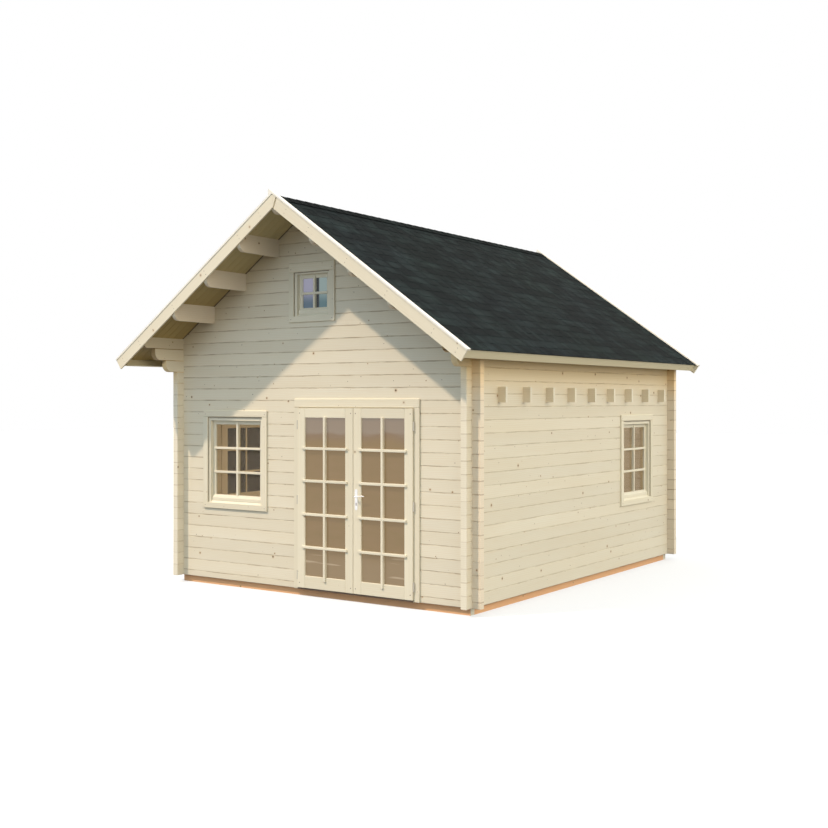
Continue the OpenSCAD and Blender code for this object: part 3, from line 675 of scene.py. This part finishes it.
# %% Shingle material
def slate_material(name, shade=1.0):
    """Dark mineral grains with speckle, soft patches drawn out along the courses, and a tone for
    each tab."""
    material, tree, shader = blank(name)
    spot = here(tree)
    tone = add(tree, "Attribute", attribute_name="tone").outputs["Fac"]
    cloud = noise(tree, scaled(tree, spot, 2.6, 1.1, 2.6), 1.7, 4.0, 0.6)
    hue = noise(tree, spot, 0.9, 2.0)
    grain = add(tree, "TexVoronoi", {"Vector": spot, "Scale": 420.0}).outputs
    chips = add(tree, "SeparateColor", {0: grain["Color"]}).outputs[0]
    dim = lambda red, green, blue: rgb(red * shade, green * shade, blue * shade)
    cool = blend(tree, hue, dim(0.0092, 0.0116, 0.0145), dim(0.0092, 0.0130, 0.0128))
    light = blend(tree, hue, dim(0.021, 0.029, 0.0345), dim(0.0215, 0.0345, 0.0305))
    level = ramp(tree, tone, 0.50, ramp(tree, cloud, 2.5, -1.25), clamp=True)
    colour = blend(tree, level, cool, light)
    flecks = times(tree, calc(tree, "GREATER_THAN", chips, 0.86), 0.30)
    colour = blend(tree, flecks, colour, rgb(0.035, 0.042, 0.043))
    feed(tree, shader, {"Base Color": colour, "Roughness": ramp(tree, chips, 0.2, 0.72),
                        "Normal": bump(tree, grain["Distance"], 0.0015, 0.7), "Specular IOR Level": 0.02})
    return material

SLATE = slate_material("slate_grains")
for side, label in SIDES:
    made = skin(f"shingle_courses_{label}", shingle_rings(side), "cabin", SLATE)
    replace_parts(made, f"shingles_{label}")

# %% [markdown]
# ## Ridge
# The last shingles are cut into tabs and folded over the ridge, one lapping the next. The fold is
# a ring carried along the ridge: out down one side, over the top and back underneath.

# %% Ridge tabs
def ridge_tabs():
    """Each tab is a folded sheet. Its ring is the fold's outline, and its two sections lie a tab's
    length apart."""
    starts = np.arange(VERGE[0] + 0.045, VERGE[1] - 0.20, 0.150)
    reach, thick = 0.118, 0.0032
    sections = []
    for shift, lift in ((0.0, 0.0052), (0.175, 0.0010)):
        y = starts + shift
        outline = [(-1, reach, 0), (-1, 0.012, 0), (1, 0.012, 0), (1, reach, 0),
                   (1, reach, thick), (1, 0.010, thick), (-1, 0.010, thick), (-1, reach, thick)]
        ring = [on_slope(side, u, y, SHINGLE_TOP - 0.0012 + lift * (0.4 + 0.6 * v / thick) + v)
                for side, u, v in outline]
        sections.append(np.stack(ring, 1))
    return np.stack(sections, 1)[:, :, ::-1]

made = skin("ridge_tabs", ridge_tabs(), "cabin", slate_material("ridge_grains", 0.60))
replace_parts(made, "ridge_strip")

# %% [markdown]
# ## Floor and loft boards
# The floor shows through the glazed door, so it is laid in boards too: along the cabin on the
# bearers below, and along the cabin again over the joists above, where a hatch is left open.

# %% Floor and loft boards
JOINT = 0.0005                       # half of the gap between two boards
low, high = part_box("floor")
edges = np.linspace(low.x, high.x, 35)
rows = [box(a, b, low.y, high.y, low.z, high.z, 1) for a, b in zip(edges[:-1] + JOINT, edges[1:] - JOINT)]
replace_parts(planks("floor_laid", rows, "cabin", FLOOR_WOOD), "floor")

low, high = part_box("loft_floor")
hatch = (-1.600, -0.700, FRONT + 3.724, FRONT + 4.212)
edges = np.concatenate([np.linspace(low.x, hatch[0], 5), np.linspace(hatch[0], hatch[1], 10)[1:],
                        np.linspace(hatch[1], high.x, 28)[1:]])
rows = []
for a, b in zip(edges[:-1] + JOINT, edges[1:] - JOINT):
    cut = hatch[0] - 0.01 < a and b < hatch[1] + 0.01
    spans = [(low.y, hatch[2]), (hatch[3], high.y)] if cut else [(low.y, high.y)]
    rows += [box(a, b, y0, y1, low.z, high.z, 1) for y0, y1 in spans]
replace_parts(planks("loft_laid", rows, "cabin", FLOOR_WOOD), "loft_floor")

# %% [markdown]
# ## Windows
# Four windows share one recipe. In the place of each, X runs along the wall, Y into it and Z up from
# the bottom of its hole. The casing boards cover the gap on the wall's face, the frame fills the
# thickness, and the sash sits back in it. Each is put together from its own boards, so the
# grain turns at every corner as a joiner's work does.

# %% Windows: their places
SIDE_CENTRE = 1.098
LOW = dict(w=0.910, h=8 * COURSE, rise=0.020, bars=(0.325, 0.665))
WINDOWS = [
    dict(LOW, at=(-1.155, FRONT, FOOT + 6.5 * COURSE), turn=0),
    dict(LOW, at=(HALF_W, BACK - SIDE_CENTRE, FOOT + 6 * COURSE), turn=90),
    dict(LOW, at=(-HALF_W, FRONT + SIDE_CENTRE, FOOT + 6 * COURSE), turn=-90),
    dict(at=(0.0, FRONT, FOOT + 22.5 * COURSE - 0.025), turn=0, w=0.565, h=4 * COURSE + 0.025, rise=0.045,
         bars=(0.49,)),
]
SETTLED = 1 - 0.037                  # share of a hole's height that its frame fills
FRAME, SASH = 0.063, 0.045           # widths of the frame and sash boards
LAP = 0.0425                         # how far the casing reaches past the hole
GLASS_IN = FRAME + SASH              # from the edge of the hole to the glass

def placed(points, window):
    """Turns boards or rings about the upright axis and moves them to a window. Boards are a start
    and three edges, and only the start is moved."""
    angle = math.radians(window["turn"])
    c, s = math.cos(angle), math.sin(angle)
    spin = np.array([[c, -s, 0], [s, c, 0], [0, 0, 1]])
    moved = np.asarray(points, float) @ spin.T
    if moved.shape[1:] == (4, 3):
        moved[:, 0] += window["at"]
        return moved
    return moved + window["at"]

def at_windows(recipe):
    """The boards of a recipe at all four windows."""
    return np.concatenate([placed(recipe(window), window) for window in WINDOWS])

print("windows:", len(WINDOWS), "widths", [window["w"] for window in WINDOWS])

# %% Windows: casing, frame and sash
def pair(far, wide, y0, y1, z0, z1):
    """Two upright boards, as far to the left as to the right."""
    return [box(x0, x1, y0, y1, z0, z1, 2) for x0, x1 in ((-far, wide - far), (far - wide, far))]

def joined(x0, x1, y0, y1, z0, z1, wide, foot, step):
    """Two stiles from top to bottom, and two rails between them that lie a step further in."""
    left, right = x0 + wide, x1 - wide
    return [box(x0, left, y0, y1, z0, z1, 2), box(right, x1, y0, y1, z0, z1, 2),
            box(left, right, y0 + step, y1, z0, z0 + foot, 0),
            box(left, right, y0 + step, y1, z1 - wide, z1, 0)]

def casing_boards(window):
    """The bottom board runs through, and the side boards stand between it and the head board, which follows.
    """
    far = window["w"] / 2 + LAP
    return [box(-far, far, -0.020, 0, -0.050, 0.015, 0),
            *pair(far, 0.070, -0.0195, 0, 0.015, window["h"] - 0.060)]

def casing_head(window):
    """The head board, whose edges are eased more, so that rain runs off its top."""
    far, h = window["w"] / 2 + LAP, window["h"]
    return [box(-far, far, -0.020, 0, h - 0.060, h + window["rise"], 0)]

def frame_boards(window):
    """Two sides with the head between them. The sill, which would be the lower rail, follows."""
    far, top = window["w"] / 2, window["h"] * SETTLED
    boards = joined(-far, far, 0, 0.085, 0, top, FRAME, FRAME, 0.0005)
    return boards[:2] + boards[3:]

def sash_boards(window):
    """Two stiles and two rails round the glass."""
    far, top = window["w"] / 2 - FRAME, window["h"] * SETTLED - FRAME
    return joined(-far, far, 0.040, 0.080, FRAME, top, SASH, SASH, 0.0003)

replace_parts(planks("window_casing_boards", at_windows(casing_boards), "cabin", TRIM_WOOD),
            "window_casings")
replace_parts(planks("window_casing_heads", at_windows(casing_head), "cabin", TRIM_WOOD,
                   ease=0.008), "window_casings")
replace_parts(planks("window_frame_boards", at_windows(frame_boards), "cabin", SASH_WOOD),
            "window_frames")
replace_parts(planks("window_sash_boards", at_windows(sash_boards), "cabin", SASH_WOOD,
                   ease=0.003), "window_sashes")

# %% [markdown]
# A soft dark strip sits in the corner between the casing and the frame. It is painted shade: it draws the
# thin shadow line that shows round the frames.

# %% Windows: strips of painted shade round the frames
def shadow_strip_material(name):
    """Dark brown, for the strips of painted shade: dull, with a dusty bloom."""
    material, tree, shader = blank(name)
    dust_and_shade = noise(tree, here(tree), 14.0, 4.0)
    feed(tree, shader, {"Base Color": blend(tree, dust_and_shade, rgb(0.15, 0.105, 0.065), rgb(0.22, 0.165, 0.105)),
                        "Roughness": ramp(tree, dust_and_shade, 0.3, 0.55)})
    return material

def shadow_line_strips(window):
    """Strips at the head and down both sides, in the corner of the casing."""
    far, h = window["w"] / 2 - 0.0275, window["h"]
    return [box(-far, far, -0.012, 0, h - 0.066, h - 0.0605, 0),
            *pair(far, 0.0025, -0.006, 0, 0.016, h - 0.066)]

planks("window_shadow_strips", at_windows(shadow_line_strips), "cabin", shadow_strip_material("painted_shadow_strip"),
       per_corner=1)

# %% [markdown]
# Two mouldings have a shape of their own. The sill of the frame slopes so that rain runs off, and
# the weather bar throws the drops clear of it. Each is a profile carried across the window.

# %% Windows: sills and weather bars
def moulding(name, profile, inset):
    """A profile of (into the wall, up) points is carried across each window, short by an inset."""
    rings = []
    for window in WINDOWS:
        far = window["w"] / 2 - inset
        rings.append(placed([[(end, inward, up) for inward, up in profile] for end in (-far, far)], window))
    skin(name, np.array(rings), "cabin", SASH_WOOD)

SILL = [(0.0, 0.0005), (0.0, 0.0125), (0.0015, 0.0152), (0.0385, 0.0610), (0.0410, 0.0628),
        (0.0845, 0.0628), (0.0845, 0.0005)]
BAR = [(0.0405, 0.1055), (0.0360, 0.1045), (0.0165, 0.0760), (0.0150, 0.0720), (0.0150, 0.0400),
       (0.0175, 0.0385), (0.0380, 0.0640), (0.0405, 0.0660)]
moulding("window_sills", SILL, FRAME)
moulding("weather_bars", BAR, 0.075)

# %% [markdown]
# ## Glazing bars
# One sheet of glass fills each sash. The bars lie on its outer face and lap the sash a little, and
# a flatter set backs them on the inside. They are halved over each other where they cross, which
# here leaves the level ones half a millimetre in front.

# %% Glazing bars on the windows
def bars(x0, x1, z0, z1, shares, outer, inner, half, lap, below, above):
    """Bars over the glass between x0, x1, z0 and z1. The level ones lie at shares of its height.
    outer and inner are the two sets' spans of Y, and half has half widths: upright and level outside,
    level inside. Outside they lap the frame by lap at the sides, and by below and above."""
    middle = (x0 + x1) / 2
    boards = [box(middle - half[0], middle + half[0], outer[0] + 0.0005, outer[1], z0 - below, z1 + above, 2)]
    for share in shares:
        z = z0 + (z1 - z0) * share
        boards.append(box(x0 - lap, x1 + lap, *outer, z - half[1], z + half[1], 0))
        boards.append(box(x0, x1, *inner, z - half[2], z + half[2], 0))
    boards.append(box(middle - 0.012, middle + 0.012, inner[0], inner[1] - 0.0005, z0, z1, 2))
    return boards

def glazing_bars(window):
    """One upright bar, and level bars at the window's shares."""
    far, top = window["w"] / 2 - GLASS_IN, window["h"] * SETTLED - GLASS_IN
    return bars(-far, far, GLASS_IN, top, window["bars"], (0.0280, 0.062), (0.0645, 0.0780),
                (0.0135, 0.0135, 0.0120), 0.022, 0.014, 0.030)

planks("window_glazing_bars", at_windows(glazing_bars), "cabin", SASH_WOOD, ease=0.004,
       per_corner=3)

# %% [markdown]
# ## Door
# A door leaf is a frame of stiles and rails. The stiles run the full height and the rails are
# tenoned between them. Ten panes are suggested by bars over a single sheet, as on the windows.
# The casing boards on the wall frame both leaves.

# %% Door leaves
LEAVES = {"left_leaf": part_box("door_leaf_left"), "right_leaf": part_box("door_leaf_right")}
STILE, FOOT_RAIL = 0.105, 0.136      # widths of the stiles and top rail, and of the bottom rail

def leaf_bars(low, high):
    """One upright bar that stops on the bottom rail, and four level bars that lap both stiles."""
    return bars(low.x + STILE, high.x - STILE, low.z + FOOT_RAIL, high.z - STILE,
                (0.182, 0.390, 0.601, 0.806), (low.y - 0.016, low.y + 0.020),
                (low.y + 0.0245, high.y - 0.003), (0.014, 0.0145, 0.0125), 0.030, 0.048, 0.012)

for body, (low, high) in LEAVES.items():
    label = body.split("_")[0]
    boards = joined(low.x, high.x, low.y, high.y, low.z, high.z, STILE, FOOT_RAIL, 0.0005)
    made = planks(f"door_frame_{label}", boards, body, TRIM_WOOD, ease=0.003)
    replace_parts(made, f"door_leaf_{label}")
    planks(f"door_bars_{label}", leaf_bars(low, high), body, SASH_WOOD, ease=0.004, per_corner=3)

# %% Door casing
low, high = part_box("door_casing_head")
top = [box(low.x, high.x, low.y, high.y, low.z, high.z, 0)]
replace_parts(planks("door_casing_top", top, "cabin", TRIM_WOOD, ease=0.008), "door_casing_head")
low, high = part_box("door_casing_sides")
sides = [box(x0, x0 + 0.064, low.y, high.y, low.z, high.z, 2) for x0 in (low.x, high.x - 0.064)]
made = planks("door_casing_uprights", sides, "cabin", TRIM_WOOD, ease=0.003)
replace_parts(made, "door_casing_sides")

# %% [markdown]
# ## Glass
# Window glass is clear, but at this distance the eye sees a dim brown room through it and a soft reflection
# on it. The front and right panes let most light through and hold back a little brown. The door and gable
# panes let little through and glow with a painted reflection, and the left pane is an opaque dark sheet of
# painted shade.

# %% Glass
def glass_material(name, tint, clear, index, painted_reflection=None):
    """Smooth glass. A faint waviness, as of drawn sheets, bends what it mirrors. A painted reflection, where
    one is given, glows from the pane as emission.
    """
    material, tree, shader = blank(name)
    spot = here(tree)
    wave = noise(tree, spot, 1.6, 1.0)
    feed(tree, shader, {"Base Color": blend(tree, wave, rgb(*tint), rgb(*[v * 0.9 for v in tint])),
                        "Normal": bump(tree, wave, 0.004, 0.25), "Roughness": 0.0, "IOR": index,
                        "Transmission Weight": clear, "Specular IOR Level": 0.2})
    if painted_reflection:
        feed(tree, shader, {"Emission Color": painted_reflection(tree, spot, wave), "Emission Strength": 1.0})
    return material

print("glass: a faint waviness")

# %% Glass: painted reflections that glow on the panes
def painted_garden_reflection(tree, spot, wave):
    """A painted reflection: dim hedges with a pale sky over them and lit strips of lawn at the foot."""
    xyz = split(tree, spot)
    up = ramp(tree, wave, 0.25, calc(tree, "SUBTRACT", xyz[2], 0.125))
    leaves = noise(tree, scaled(tree, spot, 1.3, 1.0, 5.0), 2.2, 3.0)
    colour = blend(tree, leaves, rgb(0.168, 0.120, 0.055), rgb(0.205, 0.136, 0.076))
    colour = blend(tree, fade(tree, up, 1.80, 1.68), colour, rgb(0.172, 0.118, 0.078))
    above = fade(tree, ramp(tree, leaves, 0.16, up), 1.93, 1.85)
    colour = blend(tree, above, colour, rgb(0.215, 0.175, 0.142))
    strips = noise(tree, scaled(tree, spot, 0.8, 1.0, 15.0), 1.9, 1.5)
    lawn = blend(tree, fade(tree, strips, 0.60, 0.67), rgb(0.35, 0.275, 0.19), rgb(0.212, 0.155, 0.092))
    return blend(tree, fade(tree, up, 0.42, 0.62), colour, lawn)

def painted_sky_reflection(tree, spot, wave):
    """A painted reflection, lilac above and teal below, with a painted shadow beside the upright bar."""
    xyz = split(tree, spot)
    above = blend(tree, fade(tree, xyz[0], -0.02, 0.02), rgb(0.22, 0.28, 0.27), rgb(0.26, 0.255, 0.33))
    below = blend(tree, fade(tree, xyz[0], -0.02, 0.02), rgb(0.085, 0.145, 0.16), rgb(0.075, 0.11, 0.145))
    level = fade(tree, ramp(tree, wave, 0.1, xyz[2]), 3.30, 3.46)
    colour = blend(tree, level, above, below)
    # A painted shadow beside the upright bar.
    bar_shadow = times(tree, fade(tree, xyz[0], 0.045, 0.055), calc(tree, "GREATER_THAN", xyz[0], 0.0))
    return blend(tree, bar_shadow, colour, rgb(0.03, 0.032, 0.035))

DOOR_GLASS = glass_material("door_glass", (0.11, 0.083, 0.050), 0.25, 1.45, painted_garden_reflection)
CLEAR_GLASS = glass_material("clear_glass", (0.88, 0.82, 0.70), 0.95, 1.12)
# The left pane lets no light through: an opaque dark sheet of painted shade for the dim view through it.
PAINTED_SHADE_GLASS = glass_material("painted_shade_glass", (0.045, 0.034, 0.022), 0.0, 1.2)
GABLE_GLASS = glass_material("gable_glass", (0.03, 0.035, 0.04), 0.10, 1.45, painted_sky_reflection)
print("glass:", [m.name for m in (DOOR_GLASS, CLEAR_GLASS, PAINTED_SHADE_GLASS, GABLE_GLASS)])

# %% Window panes
def pane(window):
    """The sheet lies in the middle of its sash and fills it."""
    far, top = window["w"] / 2 - GLASS_IN, window["h"] * SETTLED - GLASS_IN
    return box(-far, far, 0.060, 0.065, GLASS_IN, top, 0)

for window, label, glass in zip(WINDOWS, ("front", "right", "left", "gable"),
                                (CLEAR_GLASS, CLEAR_GLASS, PAINTED_SHADE_GLASS, GABLE_GLASS)):
    made = planks(f"pane_{label}", placed([pane(window)], window), "cabin", glass, ease=0.0004)
    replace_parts(made, "window_glass")

# %% [markdown]
# ## Metal
# The lever, plates and hinges are satin nickel on steel: brushed in one direction, bright, and
# duller where hands have been.

# %% Metal
def metal_material(name, bright, dull, metallic):
    """Brushed metal: fine scratches drawn out sideways change its gloss and its bump."""
    material, tree, shader = blank(name)
    spot = here(tree)
    brush = noise(tree, scaled(tree, spot, 60.0, 60.0, 900.0), 1.0, 2.0)
    touch = noise(tree, spot, 22.0, 2.0)
    rough = ramp(tree, brush, 0.16, ramp(tree, touch, 0.18, 0.16))
    feed(tree, shader, {"Base Color": blend(tree, touch, rgb(*bright), rgb(*dull)), "Metallic": metallic,
                        "Roughness": rough, "Normal": bump(tree, brush, 0.0001, 0.4)})
    return material

NICKEL = metal_material("satin_nickel", (0.86, 0.86, 0.86), (0.74, 0.74, 0.75), 0.9)
ZINC = metal_material("zinc_plate", (0.56, 0.53, 0.46), (0.44, 0.42, 0.37), 0.5)
IRON = metal_material("nail_iron", (0.20, 0.15, 0.11), (0.12, 0.09, 0.07), 0.4)
print("metals:", NICKEL.name, ZINC.name, IRON.name)

# %% [markdown]
# ## Lever and lock plates
# The plates are long and rounded, with the slot of a lock cylinder under the spindle. The lever is a
# bent rod: it leaves the plate square, turns along the door, rises a little and curls back at its
# end so that it doesn't catch sleeves. Both show on both faces of the leaf.

# %% Lock plates
SPINDLE = (0.6425, 1.142)            # across and up
LEAF = 0.040                         # thickness of a door leaf
FACES = ((FRONT - LEAF, -1), (FRONT, 1))     # each face of the leaf and the way out of it

def flat_plate(outline, face, way, layers):
    """An outline of (across, up) points is lifted off a face. Each layer is (height, inset), and an
    inset draws the outline towards its middle by that length."""
    outline = np.asarray(outline, float)
    middle = outline.mean(axis=0)
    reach = np.linalg.norm(outline - middle, axis=1)[:, None]
    rings = []
    for height, inset in layers:
        shrunk = middle + (outline - middle) * (1 - inset / reach)
        rings.append(np.insert(shrunk, 1, face + way * height, axis=1))
    return np.array(rings)[:, ::-way]

def rounded(x, z0, z1, half, radius):
    """A rectangle about x between two heights, its corners arcs of a radius."""
    left, right, low, high = x - half + radius, x + half - radius, z0 + radius, z1 - radius
    angle = np.linspace(0, math.pi / 2, 6) + np.arange(4)[:, None] * math.pi / 2
    across = np.array([right, left, left, right])[:, None] + radius * np.cos(angle)
    up = np.array([high, high, low, low])[:, None] + radius * np.sin(angle)
    return np.column_stack([across.ravel(), up.ravel()])

x, z = SPINDLE
plates, slots = [], []
for face, way in FACES:
    plates.append(flat_plate(rounded(x, z - 0.145, z + 0.080, 0.018, 0.015), face, way,
                             [(0.0, 0), (0.0018, 0), (0.0026, 0.0006), (0.0030, 0.0018)]))
    slots.append(flat_plate(rounded(x, z - 0.098, z - 0.066, 0.0052, 0.0050), face, way,
                            [(0.0025, 0), (0.0033, 0), (0.0035, 0.0006)]))
made = skin("plates_rounded", np.array(plates), "right_leaf", NICKEL, shift=False)
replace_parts(made, "lock_plates")
skin("cylinder_slots", np.array(slots), "right_leaf", IRON, shift=False)

# %% Lever
def circles(one, two, points):
    """Round each pair of directions, points on a circle of radius 1: one cos a + two sin a."""
    angle = np.arange(points) * 2 * math.pi / points
    return one[:, None] * np.cos(angle)[None, :, None] + two[:, None] * np.sin(angle)[None, :, None]

def rod(path, radius):
    """Circles carried along a path and square to it: centre + radius * circle."""
    ahead = unit(np.gradient(path, axis=0))
    aside = unit(np.cross(ahead, (0.0, 0.0, 1.0)))
    return path[:, None] + radius[:, None, None] * circles(aside, np.cross(aside, ahead), 12)

def lever_path():
    """Out from the plate, round a quarter turn and along the door. Columns are across, out, up and
    radius."""
    turn = np.linspace(0, math.pi / 2, 7)[1:]
    neck = [(0, 0.0034, 0, 0.0105), (0, 0.012, 0, 0.0105), (0, 0.0135, 0, 0.0075), (0, 0.032, 0, 0.0075)]
    bend = [(0.014 * (1 - math.cos(a)), 0.032 + 0.014 * math.sin(a), 0.0006 * i, 0.0078)
            for i, a in enumerate(turn)]
    s = np.linspace(0.08, 1, 14)
    curl = 0.016 * np.clip(s - 0.8, 0, 1) ** 2 * 20
    grip = np.column_stack([0.014 + 0.112 * s, 0.046 - 0.006 * np.sin(math.pi * s) - curl,
                            0.004 + 0.007 * np.sin(math.pi * (s - 0.25)), 0.0084 - 0.002 * s])
    tip = grip[-1] + [0.003, -0.003, 0, -0.0035]
    return np.concatenate([neck, bend, grip, [tip]])

shape = lever_path()
levers = []
for face, way in FACES:
    path = np.column_stack([x + shape[:, 0], face + way * shape[:, 1], z + shape[:, 2]])
    levers.append(rod(path, shape[:, 3])[:, ::way])
made = skin("lever_bent", np.array(levers), "lever", NICKEL, smooth=True, shift=False)
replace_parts(made, "door_lever")

# %% [markdown]
# ## Nails and pegs
# Small dark heads show where boards are fixed: nails through the barge boards into the purlins, pegs
# through the corner joints of the leaves, and screws in the corners of the casings.

# %% Nails and pegs
def heads(name, groups, radius, body):
    """Low domes on groups of spots, each with its way out. Circles shrink from the rim to the top:
    centre + out * height + r * circle."""
    centres = np.concatenate([spots for spots, _ in groups])
    outward = np.concatenate([np.broadcast_to(out, np.shape(spots)) for spots, out in groups])
    one = unit(np.cross(outward, (0.0, 0.0, 1.0)))
    around = circles(one, np.cross(outward, one), 8)
    rings = [centres[:, None] + outward[:, None] * height + around * radius * share
             for height, share in ((-0.001, 1.0), (0.0006, 1.0), (0.0014, 0.6))]
    return skin(name, np.stack(rings, 1), body, IRON)

barge_x = np.array([0.20, 0.5045, 1.0055, 1.5065, 2.06, 2.33])
BARGES = ((FRONT - 0.665, -1.0), (BACK + 0.180, 1.0))     # the outer face of each pair and its way out
rows = [(on_slope(side, barge_x / math.cos(PITCH), y, v), (0.0, way, 0.0))
        for y, way in BARGES for side in (-1, 1) for v in (-0.012, -0.058)]
heads("barge_nails", rows, 0.0042, "cabin")
for body, (low, high) in LEAVES.items():
    spots = [(px, low.y, pz) for px in (low.x + 0.030, high.x - 0.030)
             for pz in (low.z + 0.055, high.z - 0.055)]
    heads("pegs_" + body, [(spots, (0.0, -1.0, 0.0))], 0.0055, body)
rows = []
for window in WINDOWS:
    far, h = window["w"] / 2 + 0.010, window["h"]
    spots = [(side * far, -0.020, up) for side in (-1, 1) for up in (-0.018, h - 0.025)]
    rows.append((placed(spots, window), placed([(0.0, -1.0, 0.0)], dict(window, at=(0, 0, 0)))))
heads("casing_screws", rows, 0.0045, "cabin")

# %% [markdown]
# ## Finishes of the CAD nodes
# The nodes whose shapes are right stay, and get the material that suits the way their grain runs.

# %% Assign materials to the CAD nodes
FINISHES = {
    LOGS_ACROSS: ["front_wall_left", "front_wall_right", "front_gable", "rear_wall"],
    LOGS_ALONG: ["left_wall", "right_wall"],
    BEAMS_X: ["door_head"],
    UPRIGHT: ["door_jambs"],
    JOIST_WOOD: ["loft_joists"],
    BEAMS_Y: ["purlins", "ridge_purlin"],
    VERGE_WOOD: ["barge_boards_front", "barge_boards_rear"],
    CAP_WOOD: ["verge_caps_left", "verge_caps_right"],
    FASCIA_WOOD: ["eave_fascias"],
    BASE_X: ["base_front", "base_rear", "floor_bearers"],
    BASE_Y: ["base_left", "base_right"],
    DARK_X: ["door_threshold"],
    DOOR_GLASS: ["door_glass_left", "door_glass_right"],
    ZINC: ["hinge_pins_left", "hinge_pins_right", "hinge_knuckles_left", "hinge_knuckles_right"],
}
for material, names in FINISHES.items():
    for name in names:
        mesh = NODES[name].data
        mesh.materials.clear()
        mesh.materials.append(material)
print("finished CAD nodes:", sum(len(v) for v in FINISHES.values()))
